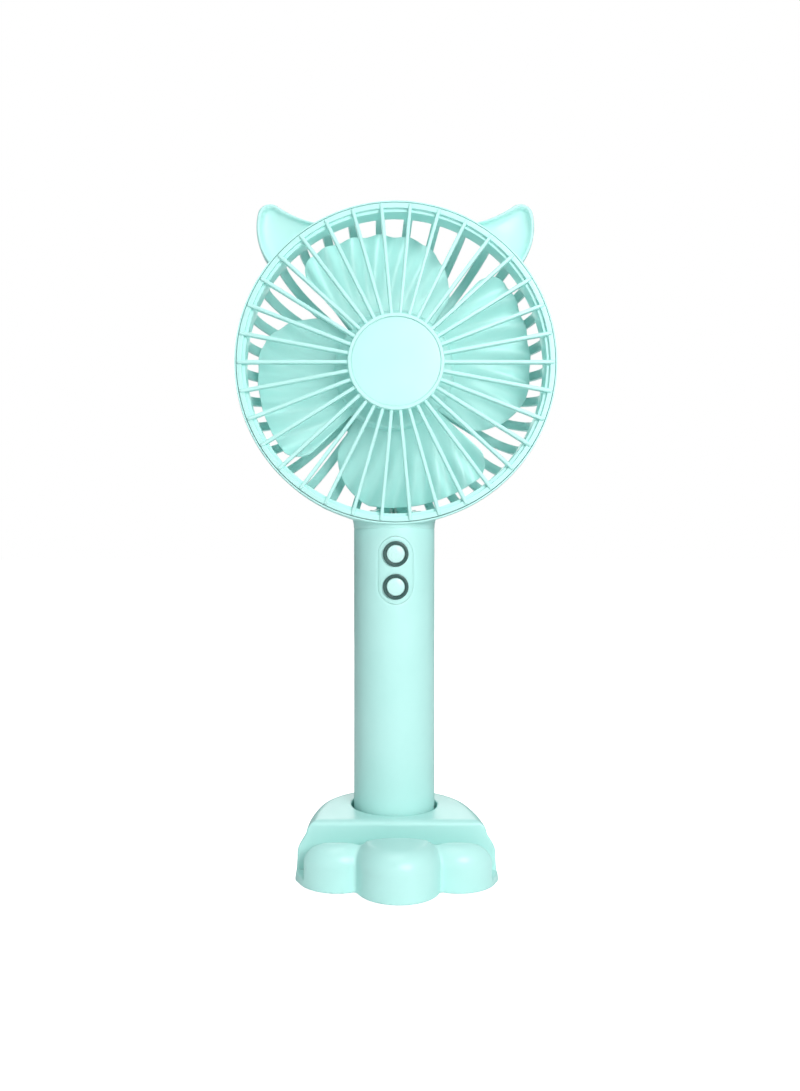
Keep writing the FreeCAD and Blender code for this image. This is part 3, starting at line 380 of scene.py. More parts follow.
def metal(name, dark, light, rough_low, rough_high, stretch):
    """Bare metal with drawn or turned marks."""
    material, tree, shader = new_material(name)
    marks = grain(tree, 900.0, 6.0, stretch)
    tree.links.new(ramp(tree, marks, dark, light), shader.inputs["Base Color"])
    tree.links.new(ramp(tree, marks, rough_low, rough_high), shader.inputs["Roughness"])
    bump(tree, shader, marks, 0.000006)
    shader.inputs["Metallic"].default_value = 1.0
    return material


def banded(name, first, second, scale, rough, depth, axis="Z"):
    """A surface with fine regular bands, such as wound wire or a printed wrap."""
    material, tree, shader = new_material(name)
    place = tree.nodes.new("ShaderNodeTexCoord")
    wave = add_node(tree, "ShaderNodeTexWave", Scale=scale, Distortion=0.4, Detail=2.0)
    wave.bands_direction = axis
    tree.links.new(place.outputs["Object"], wave.inputs["Vector"])
    tree.links.new(ramp(tree, wave.outputs["Fac"], first, second, 0.2, 0.8), shader.inputs["Base Color"])
    tree.links.new(ramp(tree, grain(tree, 400.0), rough, rough + 0.12), shader.inputs["Roughness"])
    bump(tree, shader, wave.outputs["Fac"], depth)
    return material


def laminate(name):
    """A circuit board: solder mask over a raised net of tracks."""
    material, tree, shader = new_material(name)
    place = tree.nodes.new("ShaderNodeTexCoord")
    tracks = add_node(tree, "ShaderNodeTexVoronoi", Scale=420.0)
    tracks.distance = "MANHATTAN"
    tracks.feature = "F1"
    tree.links.new(place.outputs["Object"], tracks.inputs["Vector"])
    colour = ramp(tree, tracks.outputs["Distance"], (0.02, 0.20, 0.09), (0.04, 0.33, 0.15), 0.3, 0.4)
    tree.links.new(colour, shader.inputs["Base Color"])
    tree.links.new(ramp(tree, grain(tree, 700.0), 0.28, 0.4), shader.inputs["Roughness"])
    bump(tree, shader, tracks.outputs["Distance"], 0.00003)
    return material


# A plastic has two colours, its lowest and highest roughness and the depth of its skin. A metal has the
# stretch of its marks instead of a skin. A banded one has its bands' scale before its roughness and depth.
MINT_DEEP, MINT_PALE = (0.500, 0.880, 0.835), (0.530, 0.905, 0.862)
MATERIALS = {
    "holder_plastic": plastic("holder_plastic", MINT_DEEP, MINT_PALE, 0.30, 0.36, 0.0000015),
    "housing_plastic": plastic("housing_plastic", MINT_DEEP, MINT_PALE, 0.34, 0.42),
    "grille_plastic": plastic("grille_plastic", MINT_DEEP, MINT_PALE, 0.34, 0.42),
    "impeller_plastic": plastic("impeller_plastic", (0.520, 0.900, 0.855), (0.560, 0.920, 0.880), 0.32, 0.42),
    "button_plastic": plastic("button_plastic", (0.560, 0.900, 0.850), (0.600, 0.920, 0.880), 0.28, 0.36),
    "ring_plastic": plastic("ring_plastic", (0.030, 0.088, 0.080), (0.046, 0.112, 0.102), 0.22, 0.32),
    "pad_rubber": plastic("pad_rubber", (0.012, 0.012, 0.013), (0.028, 0.028, 0.030), 0.75, 0.9, 0.00003),
    "screw_steel": metal("screw_steel", (0.42, 0.42, 0.43), (0.66, 0.66, 0.67), 0.22, 0.38, (1, 1, 0.2)),
    "yoke_steel": metal("yoke_steel", (0.28, 0.28, 0.29), (0.46, 0.46, 0.47), 0.32, 0.5, (1, 0.1, 1)),
    "magnet_ferrite": plastic(
        "magnet_ferrite", (0.02, 0.02, 0.022), (0.05, 0.05, 0.055), 0.55, 0.75, 0.00002),
    "clip_plastic": plastic("clip_plastic", (0.72, 0.72, 0.68), (0.82, 0.82, 0.78), 0.4, 0.5),
    "bearing_brass": metal("bearing_brass", (0.50, 0.36, 0.16), (0.68, 0.52, 0.26), 0.24, 0.4, (1, 0.1, 1)),
    "coil_copper": banded("coil_copper", (0.26, 0.07, 0.03), (0.62, 0.24, 0.10), 1400.0, 0.3, 0.0001, "Y"),
    "board_laminate": laminate("board_laminate"),
    "component_black": plastic(
        "component_black", (0.012, 0.012, 0.013), (0.03, 0.03, 0.032), 0.45, 0.6, 0.00001),
    "contact_nickel": metal("contact_nickel", (0.5, 0.49, 0.46), (0.72, 0.71, 0.67), 0.15, 0.3, (0.2, 1, 1)),
    "wire_jacket": plastic("wire_jacket", (0.70, 0.70, 0.68), (0.80, 0.80, 0.78), 0.4, 0.55),
    "cell_wrap": banded("cell_wrap", (0.03, 0.16, 0.36), (0.05, 0.22, 0.44), 24.0, 0.25, 0.00001),
}
for row in frame["record"]["subparts"]:
    shown = frame["nodes"][row["node"]]
    finish = MATERIALS[row["material_slot"]]
    if shown.material_slots:
        for place in shown.material_slots:
            place.material = finish
    else:
        shown.data.materials.append(finish)


def show(name, form, body, slot, stands_for=(), sharp=38):
    """Put a form in place in the material of its slot."""
    put(name, form, body, MATERIALS[slot], stands_for, sharp)


# ---------- holder ----------

BODY_FRONT, BODY_BACK, BODY_HALF = -24.2, 24.0, 31.6
BODY_TOP, BODY_FOOT, BODY_ROUND = 18.3, 0.6, 3.0
BODY_DRAFT = math.radians(12.7)
# Where the plan turns from a side arc to the back arc, as shares of its half width and of its depth.
TURN_ACROSS, TURN_ALONG = 0.9, 0.55
SOCKET_RADIUS, SOCKET_FLOOR, SOCKET_EDGE = 14.4, 3.2, 0.35
# Front, back and floor of the phone groove.
GROOVE = (-27.6, -19.6, 3.0)
GROOVE_EDGE = 0.5
# Across, forward and top of each toe.
TOES = ((18.3, -20.3, 14.9), (-18.3, -20.3, 14.9), (0.0, -29.0, 15.8))
TOE_RADIUS, TOE_ROUND, TOE_DOME, TOE_FILLET = 13.0, 5.0, 0.6, 1.2
FOOT_EDGE = 0.3
RECESS_INSET, RECESS_TOP = 2.0, 2.1


def plan_distance(x, y):
    """Distance outside the holder's main outline at the table."""
    depth = BODY_BACK - BODY_FRONT
    turn = TURN_ACROSS * BODY_HALF
    run = TURN_ALONG * depth
    rise = depth - run
    back_radius = turn ** 2 / (2 * rise) + rise / 2
    inward = BODY_HALF - turn
    side_radius = back_radius * (inward ** 2 + run ** 2) / (
        2 * ((back_radius - rise) * run - turn * inward))
    back_y = BODY_BACK - back_radius
    joint = np.array([turn, BODY_FRONT + run])
    toward = (np.array([0.0, back_y]) - joint) / back_radius
    side_centre = joint + toward * side_radius
    x = np.abs(x)
    back = np.hypot(x, y - back_y) - back_radius
    side = np.hypot(x - side_centre[0], y - side_centre[1]) - side_radius
    behind = (y - back_y) * turn > x * (joint[1] - back_y)
    return soft_max(np.where(behind, back, side), BODY_FRONT - y, BODY_ROUND)


def toe_distance(x, y, z, across, forward, top):
    """Distance outside one round toe with a slightly domed top."""
    out = np.hypot(x - across, y - forward)
    flat = TOE_RADIUS - TOE_ROUND
    dome = (flat ** 2 + TOE_DOME ** 2) / (2 * TOE_DOME)
    crown = np.hypot(out, z - (top - dome)) - dome
    return soft_max(out - TOE_RADIUS, crown, TOE_ROUND)


def holder_distance(x, y, z):
    """Distance outside the whole holder: body and toes, less the groove, the socket and the recess below."""
    plan = plan_distance(x, y)
    side = (plan + (z - BODY_FOOT) * math.tan(BODY_DRAFT)) * math.cos(BODY_DRAFT)
    form = soft_max(side, z - BODY_TOP, BODY_ROUND)
    footprint = plan
    for across, forward, top in TOES:
        form = soft_min(form, toe_distance(x, y, z, across, forward, top), TOE_FILLET)
        footprint = np.minimum(footprint, np.hypot(x - across, y - forward) - TOE_RADIUS)
    form = soft_max(form, BODY_FOOT - z, FOOT_EDGE)
    front, back, floor = GROOVE
    groove = np.maximum(np.abs(y - (front + back) / 2) - (back - front) / 2, floor - z)
    form = soft_max(form, -groove, GROOVE_EDGE)
    socket = np.maximum(np.hypot(x, y) - SOCKET_RADIUS, SOCKET_FLOOR - z)
    form = soft_max(form, -socket, SOCKET_EDGE)
    recess = np.maximum(footprint + RECESS_INSET, z - RECESS_TOP)
    return np.maximum(form, -recess)


holder = solid(holder_distance, low=(-32, -42.2, 0.4), high=(32, 24.2, 18.5), cell=0.45)
show("paw_holder", holder, "base", "holder_plastic", ["base_shell"], sharp=180)


# ---------- head ----------

BAR_COUNT = 34
BAR_WIDTH = 3.0
LIP_FRONT, LIP_STEP = -14.9, -12.6
RING_WALL, LIP_WALL = 1.8, 0.9
BOWL_START, BOWL_BIG, BOWL_SMALL = -1.0, 22.9, 14.5
SHOULDER = math.radians(40.9)
WINDOW_FRONT, WINDOW_INNER = -3.5, 24.0
# Width of the narrow strip of cells beside each edge, which carries its rounding.
STRIP = 0.35
# How far the points on an edge are drawn in, outside and inside.
OUTER_EASE, INNER_EASE = 0.28, 0.2
MOTOR_SCREW_CIRCLE, MOTOR_SCREW_ANGLES, MOTOR_SCREW_OPENING = 9.0, (90, 210, 330), 2.1
NECK_RADIUS, NECK_BORE_SHARE, NECK_SUNK = 14.0, 0.68, 1.0


def bowl_profile():
    """Rows of the bowl's outside: (y, radius, outward y, outward radius, wall)."""
    rows = [(LIP_FRONT, LIP_WALL), (LIP_STEP - 0.01, LIP_WALL), (LIP_STEP + 0.01, RING_WALL)]
    rows += [(y, RING_WALL) for y in (-9.0, -6.0, WINDOW_FRONT - STRIP, WINDOW_FRONT, -2.2)]
    rows = [(y, RING_RADIUS, 0.0, 1.0, thick) for y, thick in rows]
    for turn in np.linspace(0, SHOULDER, 15, endpoint=False):
        rows.append((BOWL_START + BOWL_BIG * math.sin(turn), RING_RADIUS - BOWL_BIG * (1 - math.cos(turn)),
                     math.sin(turn), math.cos(turn), RING_WALL))
    small_y = BOWL_START + (BOWL_BIG - BOWL_SMALL) * math.sin(SHOULDER)
    small_r = RING_RADIUS - BOWL_BIG + (BOWL_BIG - BOWL_SMALL) * math.cos(SHOULDER)
    for turn in np.linspace(SHOULDER, math.pi / 2, 14):
        rows.append((small_y + BOWL_SMALL * math.sin(turn), small_r + BOWL_SMALL * math.cos(turn),
                     math.sin(turn), math.cos(turn), RING_WALL))
    plate = small_y + BOWL_SMALL
    for radius in (33.0, 30.0, 27.0, WINDOW_INNER + STRIP, WINDOW_INNER):
        rows.append((plate, radius, 1.0, 0.0, RING_WALL))
    return np.array(rows)


def bowl(rows):
    """The ring and the barred bowl behind it, open between the bars."""
    pitch = FULL_TURN / BAR_COUNT
    half = BAR_WIDTH / 2
    columns = []
    open_cell = []
    for bar in range(BAR_COUNT):
        for offset in (-half, -half + STRIP, 0.0, half - STRIP, half):
            columns.append((bar * pitch, offset, 0.0))
            open_cell.append(False)
        open_cell[-1] = True
        for share in (0.08, 0.36, 0.64, 0.92):
            columns.append((bar * pitch, half, share))
            open_cell.append(True)
    columns = np.array(columns)
    radius = rows[:, 1][:, None]
    edge_turn = np.arcsin(columns[:, 1][None, :] / radius)
    gap = pitch - 2 * np.arcsin(half / radius)
    turn = columns[:, 0][None, :] + edge_turn + columns[:, 2][None, :] * gap
    kept = np.ones((len(rows) - 1, len(columns)), bool)
    neck_level = -30
    neck_inside = NECK_RADIUS - 0.5
    for row in range(len(rows) - 1):
        y = (rows[row, 0] + rows[row + 1, 0]) / 2
        r = (rows[row, 1] + rows[row + 1, 1]) / 2
        if y < WINDOW_FRONT:
            continue
        for column in np.nonzero(open_cell)[0]:
            here = turn[row, column]
            after = turn[row, (column + 1) % len(columns)]
            middle = here + 0.5 * ((after - here) % FULL_TURN)
            x, z = r * math.cos(middle), r * math.sin(middle)
            kept[row, column] = z < neck_level and math.hypot(x, y) < neck_inside

    def surface(depth):
        along = rows[:, 0][:, None] - depth * rows[:, 2][:, None]
        out = rows[:, 1][:, None] - depth * rows[:, 3][:, None]
        return np.stack([out * np.cos(turn), along + 0 * turn, out * np.sin(turn)], axis=2) + HEAD

    edge = border(kept, True)
    thick = rows[:, 4][:, None]
    outer = surface(np.where(edge, OUTER_EASE, 0.0))
    inner = surface(np.where(edge, thick - INNER_EASE, thick))
    return wall(outer, inner, kept, True)


def back_plate(plate_y):
    """The round plate at the bowl's back, with its three screw openings."""
    spots = [polar(MOTOR_SCREW_CIRCLE, degrees) for degrees in MOTOR_SCREW_ANGLES]

    def room(x, z):
        level = WINDOW_INNER + 0.02 - np.hypot(x, z)
        for across, up in spots:
            level = np.minimum(level, np.hypot(x - across, z - up) - MOTOR_SCREW_OPENING)
        return level

    steps = np.arange(-24.6, 24.7, 0.6)
    x, z, kept, edge = trim(steps, steps, room)
    well_inside = 15
    at_screw = edge & (np.hypot(x, z) < well_inside)
    depth = np.where(at_screw, INNER_EASE, 0.0)
    outer = np.stack([x, plate_y - depth, z], axis=2) + HEAD
    inner = np.stack([x, plate_y - RING_WALL + 0 * x, z], axis=2) + HEAD
    return wall(outer, inner, kept, False)


def neck(rows):
    """The round neck between the handle's top and the ring, with a narrower foot."""
    count = 160
    turn = np.linspace(0, FULL_TURN, count, endpoint=False)
    x, y = NECK_RADIUS * np.cos(turn), NECK_RADIUS * np.sin(turn)
    # The rows of the ring and shoulder, which lie further back one after another.
    side_rows = rows[:30]
    radius_at = np.interp(y, side_rows[:, 0], side_rows[:, 1]) - NECK_SUNK
    top = HEAD[2] - np.sqrt(radius_at ** 2 - x ** 2)
    foot = HANDLE_TOP + 0.02
    outer = []
    inner = []
    for share, pull in ((0.0, 0.6), (0.06, 0.46), (0.35, 0.4), (0.7, 0.1), (1.0, 0.0)):
        level = foot + (top - foot) * share
        shrink = (NECK_RADIUS - pull) / NECK_RADIUS
        outer.append(np.stack([x * shrink, y * shrink, level], axis=1))
        inner.append(np.stack([x * NECK_BORE_SHARE, y * NECK_BORE_SHARE, level], axis=1))
    return wall(np.array(outer), np.array(inner), np.ones((len(outer) - 1, count), bool), True)


def rear_housing():
    """The rear moulding without its ears: ring and bowl, back plate and neck."""
    rows = bowl_profile()
    return join(bowl(rows), back_plate(rows[-1, 0]), neck(rows))


EAR_FRONT, EAR_BACK = -10.5, -4.5
EAR_ROOT, DISH_ROOT = 51.2, RING_RADIUS + 0.4
DISH_DEPTH = 0.9
TIP_POINTS, SIDE_POINTS = 10, 20


def ear_outline(start, tip_in, tip_out, end, top_radius, tip_radius, side_radius, foot_radius):
    """A pointed outline standing on a circle of foot_radius, between two angles in degrees. Its first
    point is the middle of the tip, so that its two sides pair up from there."""
    start_at = polar(foot_radius, start)
    end_at = polar(foot_radius, end)
    outline = np.concatenate([
        arc(tip_in, tip_out, tip_radius, -1, TIP_POINTS),
        arc(tip_out, end_at, side_radius, -1, SIDE_POINTS),
        arc(end_at, start_at, foot_radius, 1, SIDE_POINTS),
        arc(start_at, tip_in, top_radius, 1, SIDE_POINTS),
    ])
    return np.roll(outline, -(TIP_POINTS // 2), axis=0)


def ear_face(outline, side, y, hollow):
    """A grid of faces across an ear's outline, sunk by up to hollow in its middle."""
    half = len(outline) // 2
    across = 10
    points = []
    for step in range(half):
        one, other = outline[step], outline[-1 - step]
        along = math.sin(math.pi * min(1.0, (step + 0.3) / half))
        for share in np.linspace(0, 1, across + 1):
            x, z = one + (other - one) * share
            sink = hollow * (1 - (2 * share - 1) ** 2) ** 0.6 * min(1.0, 1.6 * along)
            points.append((side * x, y + sink, z))
    faces = []
    for row in range(half - 1):
        for column in range(across):
            here = row * (across + 1) + column
            above = here + across + 1
            faces.append([here, here + 1, above + 1, above])
    return np.array(points) + HEAD, faces


def ear(side):
    """One ear: bowed plan, rounded edges and a dished front."""
    edge = ear_outline(
        start=63.4, tip_in=(38.6, 51.88), tip_out=(44.6, 49.98), end=38.2,
        top_radius=36.0, tip_radius=4.2, side_radius=20.1, foot_radius=EAR_ROOT)
    dish = ear_outline(
        start=60.0, tip_in=(39.5, 50.4), tip_out=(42.9, 49.3), end=40.2,
        top_radius=37.8, tip_radius=2.4, side_radius=18.3, foot_radius=DISH_ROOT)
    # Each layer: its share of the way in from the edge to the dish, and its depth.
    layers = [
        (0.55, EAR_BACK), (0.30, EAR_BACK), (0.10, EAR_BACK - 0.25), (0.0, EAR_BACK - 0.9),
        (0.0, EAR_FRONT + 1.2), (0.03, EAR_FRONT + 0.6), (0.12, EAR_FRONT + 0.2), (0.28, EAR_FRONT),
        (0.46, EAR_FRONT), (0.66, EAR_FRONT + 0.2), (0.84, EAR_FRONT + 0.7), (1.0, EAR_FRONT + 1.2),
    ]
    outlines = [edge + (dish - edge) * share for share, _ in layers]
    loops = []
    for outline, (_, y) in zip(outlines, layers):
        loops.append(np.stack([side * outline[:, 0], np.full(len(outline), y), outline[:, 1]], axis=1) + HEAD)
    rear_face = ear_face(outlines[0], side, layers[0][1], 0.0)
    front_face = ear_face(outlines[-1], side, layers[-1][1], DISH_DEPTH)
    return join(loft(loops), rear_face, front_face)


show("rear_housing_shell", rear_housing(), "fan", "housing_plastic", ["rear_housing"])
show("ears", join(ear(1), ear(-1)), "fan", "housing_plastic", ["rear_housing"], sharp=60)


# ---------- front grille ----------

GRILLE_BACK = -12.7
BAND_INNER, BAND_OUTER, BAND_FRONT = 49.4, 51.04, -15.0
SKIRT_OUTER, SKIRT_BACK = 50.1, -7.1
LEDGE_INNER, LEDGE_FRONT = 48.4, -13.9
HUB_RADIUS, HUB_SEAT, HUB_FRONT, HUB_FLOOR = 15.5, 14.35, -16.45, -13.9
SPOKE_HALF, SPOKE_BACK, SPOKE_FRONT = 0.575, -13.3, -15.7


def spoke(angle):
    """One straight spoke with rounded edges and end."""
    section = np.array(soften([
        (-SPOKE_HALF, SPOKE_BACK, 0.15), (SPOKE_HALF, SPOKE_BACK, 0.15),
        (SPOKE_HALF, SPOKE_FRONT, 0.35), (-SPOKE_HALF, SPOKE_FRONT, 0.35),
    ], 4))
    middle = (SPOKE_BACK + SPOKE_FRONT) / 2
    loops = []
    for radius, width, pinch in (
        (14.9, 1.0, 0.0), (50.3, 1.0, 0.0), (50.6, 0.87, 0.1), (50.8, 0.55, 0.3), (50.87, 0.2, 0.5),
    ):
        across = section[:, 0] * width
        along = middle + (section[:, 1] - middle) * (1 - 0.3 * pinch)
        loops.append(np.stack([np.full(len(section), radius), along, across], axis=1))
    points, faces = loft(loops)
    count = len(section)
    faces.append(list(range(count))[::-1])
    faces.append([len(points) - count + step for step in range(count)])
    points, faces = turned((points, faces), angle)
    return points + HEAD, faces


def front_grille():
    """The hub ring, the outer band with its skirt and ledge, and the spokes between them."""
    hub = lathe(soften([
        (0, HUB_FLOOR, 0), (HUB_SEAT, HUB_FLOOR, 0.15), (HUB_SEAT, HUB_FRONT, 0.12),
        (HUB_RADIUS, HUB_FRONT, 0.35), (HUB_RADIUS, GRILLE_BACK, 0.4), (0, GRILLE_BACK, 0),
    ]), Y, HEAD)
    band = lathe(soften([
        (BAND_INNER, BAND_FRONT, 0.25), (BAND_OUTER, BAND_FRONT, 0.1), (BAND_OUTER, GRILLE_BACK, 0.1),
        (SKIRT_OUTER, GRILLE_BACK, 0.1), (SKIRT_OUTER, SKIRT_BACK, 0.3), (LEDGE_INNER, SKIRT_BACK, 0.3),
        (LEDGE_INNER, LEDGE_FRONT, 0.2), (BAND_INNER, LEDGE_FRONT, 0.05),
    ]), Y, HEAD, 288)
    spokes = [spoke(FULL_TURN * number / BAR_COUNT) for number in range(BAR_COUNT)]
    return join(hub, band, *spokes)


def front_cap():
    """The plain disc in the hub, very slightly domed."""
    radius = 14.33
    back, rim, shoulder, crown = -13.95, -16.2, -16.35, -16.4
    return lathe(soften([
        (0, back, 0), (radius, back, 0.1), (radius, rim, 0.3), (9.0, shoulder, 3.0), (0, crown, 0),
    ]), Y, HEAD)


show("front_grille_shell", front_grille(), "fan", "grille_plastic", ["front_grille"])
show("front_cap_disc", front_cap(), "fan", "grille_plastic", ["front_cap"])


# ---------- impeller ----------

BLADE_COUNT = 4
BLADE_RADIUS, BLADE_ROOT = 46.0, 19.2
BLADE_TURN = math.radians(4.5)
BLADE_HALF, BLADE_EDGE_SHARE = 0.6, 0.55
BLADE_MIDDLE, BLADE_PITCH, BLADE_SPREAD = 1.0, 8.0, 42
RIPPLE_HEIGHT, RIPPLE_COUNT, RIPPLE_ROOT, RIPPLE_LEAN = 1.25, 7, 23, 9
ROTOR_RADIUS, ROTOR_BORE, ROTOR_BOSS = 20.0, 18.4, 3.0
SHAFT_RADIUS = 1.02


def blade_depth(radius, angle):
    """How far behind the middle plane the blade's middle surface lies; angle in degrees."""
    slope = np.sin(np.radians(angle)) / math.sin(math.radians(BLADE_SPREAD))
    growth = np.clip((radius - RIPPLE_ROOT) / (BLADE_RADIUS - RIPPLE_ROOT), 0, 1)
    phase = angle + RIPPLE_LEAN * (growth - 0.5)
    ripple = np.cos(np.radians(360 * phase / (2 * BLADE_SPREAD) * RIPPLE_COUNT))
    return BLADE_MIDDLE - BLADE_PITCH * radius / BLADE_RADIUS * slope + RIPPLE_HEIGHT * growth * ripple


def blade():
    """One petal blade round the X axis, before it is turned into place."""
    reach = BLADE_RADIUS
    low_corner, low_tip = polar(0.70 * reach, -41), polar(reach, -15)
    high_corner, high_tip = polar(0.84 * reach, 41.5), polar(reach, 33)
    low_arc = arc(low_corner, low_tip, 0.42 * reach, 1, 24)
    high_arc = arc(high_tip, high_corner, 0.17 * reach, 1, 16)[::-1]
    low_side = np.concatenate([[polar(BLADE_ROOT, -44.5)], low_arc, [low_tip]])
    high_side = np.concatenate([[polar(BLADE_ROOT, BLADE_SPREAD)], high_arc, [high_tip]])
    high_side = high_side[np.argsort(np.hypot(high_side[:, 0], high_side[:, 1]))]

    def limit(side, radius):
        radii = np.hypot(side[:, 0], side[:, 1])
        return np.interp(radius, radii, np.degrees(np.arctan2(side[:, 1], side[:, 0])))

    finer, finest = 40, 45.4
    radii = np.concatenate([
        np.linspace(BLADE_ROOT + 0.1, finer, 24, endpoint=False),
        np.linspace(finer, finest, 14, endpoint=False),
        np.linspace(finest, reach, 6),
    ])
    low = limit(low_side, radii)[:, None]
    high = limit(high_side, radii)[:, None]
    steps = 90
    gather = 0.25
    even = np.linspace(0, 1, steps)
    gathered = (1 - np.cos(np.linspace(0, math.pi, steps))) / 2
    share = gathered * gather + even * (1 - gather)
    angle = low + (high - low) * share[None, :]
    radius = radii[:, None] + 0 * angle
    middle = blade_depth(radius, angle)
    x = radius * np.cos(np.radians(angle))
    z = radius * np.sin(np.radians(angle))
    kept = np.ones((len(radii) - 1, steps - 1), bool)
    thin = np.where(border(kept, False), BLADE_EDGE_SHARE, 1.0)
    inside_hub = (np.arange(len(radii)) < 2)[:, None]
    thin = np.where(inside_hub, 1.0, thin)
    front = np.stack([x, middle - BLADE_HALF * thin, z], axis=2)
    back = np.stack([x, middle + BLADE_HALF * thin, z], axis=2)
    return wall(front, back, kept, False)


def impeller():
    """The rotor's cup with its shaft boss, and the blades round it."""
    face, floor, boss_end, skirt_end = -3.0, -1.4, 1.0, 11.5
    cup = lathe(soften([
        (SHAFT_RADIUS, face, 0), (ROTOR_RADIUS, face, 1.6), (ROTOR_RADIUS, skirt_end, 0.3),
        (ROTOR_BORE, skirt_end, 0.3), (ROTOR_BORE, floor, 0.5), (ROTOR_BOSS, floor, 0.2),
        (ROTOR_BOSS, boss_end, 0.2), (SHAFT_RADIUS, boss_end, 0),
    ]), Y, np.zeros(3))
    one_blade = blade()
    apart = FULL_TURN / BLADE_COUNT
    blades = [turned(one_blade, BLADE_TURN + number * apart) for number in range(BLADE_COUNT)]
    points, faces = join(cup, *blades)
    return points + HEAD, faces


show("impeller_blades", impeller(), "rotor", "impeller_plastic", ["impeller"])


# ---------- handle ----------

SEAM = 0.1
HANDLE_WALL = 2.0
HANDLE_SCREW_HEIGHTS, HANDLE_SCREW_OPENING = (79.2, 108.4), 2.05
PORT_HEIGHT, PORT_HALF_WIDTH, PORT_HALF_HEIGHT, PORT_CORNER = 98.3, 3.75, 1.3, 0.4
# Height of the panel's middle, and half its width and length.
PANEL = (97.0, 11.3 / 2, 21.8 / 2)
PANEL_SUNK, PANEL_DEPTH = 0.05, 1.55
BUTTONS = (("upper", 102.3), ("lower", 91.7))
BEZEL_INNER, BEZEL_OUTER, BEZEL_FRONT, BEZEL_BACK = 3.1, 4.12, -14.0, -11.4
BEZEL_OPENING = 4.14
BUTTON_EDGE, BUTTON_CROWN = 2.95, -14.15
MARK_RADIUS, MARK_HEIGHT = 1.75, 0.05


def half_handle(facing, room, cell):
    """A half tube that faces front (-1) or rear (+1), with openings cut in it."""
    quarter = HANDLE_RADIUS * (math.pi / 2) - SEAM / 2
    count = round(2 * quarter / cell)
    rise = round((HANDLE_TOP - HANDLE_LOW) / cell)
    round_grid = np.linspace(-quarter, quarter, count)
    u, v, kept, edge = trim(round_grid, np.linspace(HANDLE_LOW, HANDLE_TOP, rise), room)
    opening_ease, seam_ease = 0.12, 0.08
    depth = np.where(edge, opening_ease, np.where(border(kept, False), seam_ease, 0.0))
    turn = u / HANDLE_RADIUS

    def surface(radius):
        return np.stack([radius * np.sin(turn), facing * radius * np.cos(turn), v], axis=2)

    return wall(surface(HANDLE_RADIUS - depth), surface(HANDLE_RADIUS - HANDLE_WALL + 0 * u), kept, False)


def front_room(u, v):
    """Distance outside the panel's opening, on the unrolled handle."""
    x = HANDLE_RADIUS * np.sin(u / HANDLE_RADIUS)
    height, half_width, half_length = PANEL
    return stadium_room(x, v - height, half_width + SEAM, half_length + SEAM)


def rear_room(u, v):
    """Distance outside the charging port and the two screw openings, on the unrolled handle."""
    x = HANDLE_RADIUS * np.sin(u / HANDLE_RADIUS)
    port_x = np.abs(x) - PORT_HALF_WIDTH
    port_z = np.abs(v - PORT_HEIGHT) - PORT_HALF_HEIGHT
    beyond = np.hypot(np.maximum(port_x, 0), np.maximum(port_z, 0))
    within = np.minimum(np.maximum(port_x, port_z), 0)
    level = beyond + within - PORT_CORNER
    for height in HANDLE_SCREW_HEIGHTS:
        level = np.minimum(level, np.hypot(x, v - height) - HANDLE_SCREW_OPENING)
    return level


def panel_around_buttons():
    """The long rounded panel round the buttons, curved like the handle."""
    height, half_width, half_length = PANEL
    radius = HANDLE_RADIUS - PANEL_SUNK

    def room(u, v):
        x = radius * np.sin(u / radius)
        level = -stadium_room(x, v - height, half_width, half_length)
        for _, centre in BUTTONS:
            level = np.minimum(level, np.hypot(x, v - centre) - BEZEL_OPENING)
        return level

    cell = 0.3
    across = np.arange(-6.3, 6.31, cell)
    up = np.arange(height - 11.4, height + 11.41, cell)
    u, v, kept, edge = trim(across, up, room)
    turn = u / radius
    edge_ease = 0.1
    depth = np.where(edge, edge_ease, 0.0)

    def surface(out):
        return np.stack([out * np.sin(turn), -out * np.cos(turn), v], axis=2)

    return wall(surface(radius - depth), surface(radius - PANEL_DEPTH + 0 * u), kept, False)


def swirl(radius, angle):
    """Three small fan blades round a centre dot, as a relief pattern."""
    blade_line = np.cos(3 * (angle - 0.9 * radius))
    petal = (blade_line > 0.35) & (radius > 0.55) & (radius < 1.5)
    return petal | (radius < 0.3)


def arc_over_dot(radius, angle):
    """An open arc over a dot, as a relief pattern."""
    high = np.abs((angle - math.pi / 2 + math.pi) % FULL_TURN - math.pi) < 1.05
    return (high & (radius > 1.1) & (radius < 1.4)) | (radius < 0.35)


def button(height, pattern):
    """A domed cap with a fine raised mark, and the flange and stem behind it."""
    steps = 144
    turn = np.linspace(0, FULL_TURN, steps, endpoint=False)
    loops = []

    def add_loop(radius, y):
        loops.append(np.stack([radius * np.cos(turn), y, radius * np.sin(turn)], axis=1))

    for radius in np.concatenate([np.linspace(0, MARK_RADIUS, 30), np.linspace(MARK_RADIUS + 0.1, 2.75, 8)]):
        raised = np.where(pattern(np.full(steps, radius), turn), MARK_HEIGHT, 0.0)
        add_loop(radius, BUTTON_CROWN + 0.06 + 0.42 * (radius / BUTTON_EDGE) ** 2 - raised)
    for radius, y in (
        (2.88, -13.62), (BUTTON_EDGE, -13.42), (BUTTON_EDGE, -11.1), (3.5, -11.1), (3.5, -10.5),
        (1.2, -10.5), (1.2, -9.5), (0.0, -9.5),
    ):
        add_loop(radius, np.full(steps, y))
    points, faces = loft(loops)
    return points + np.array([0, 0, height]), faces


def bezel(height):
    """The dark ring round one button."""
    return lathe(soften([
        (BEZEL_INNER, BEZEL_FRONT, 0.25), (BEZEL_OUTER, BEZEL_FRONT, 0.35),
        (BEZEL_OUTER, BEZEL_BACK, 0.1), (BEZEL_INNER, BEZEL_BACK, 0.1),
    ]), Y, np.array([0, 0, height]), 128)


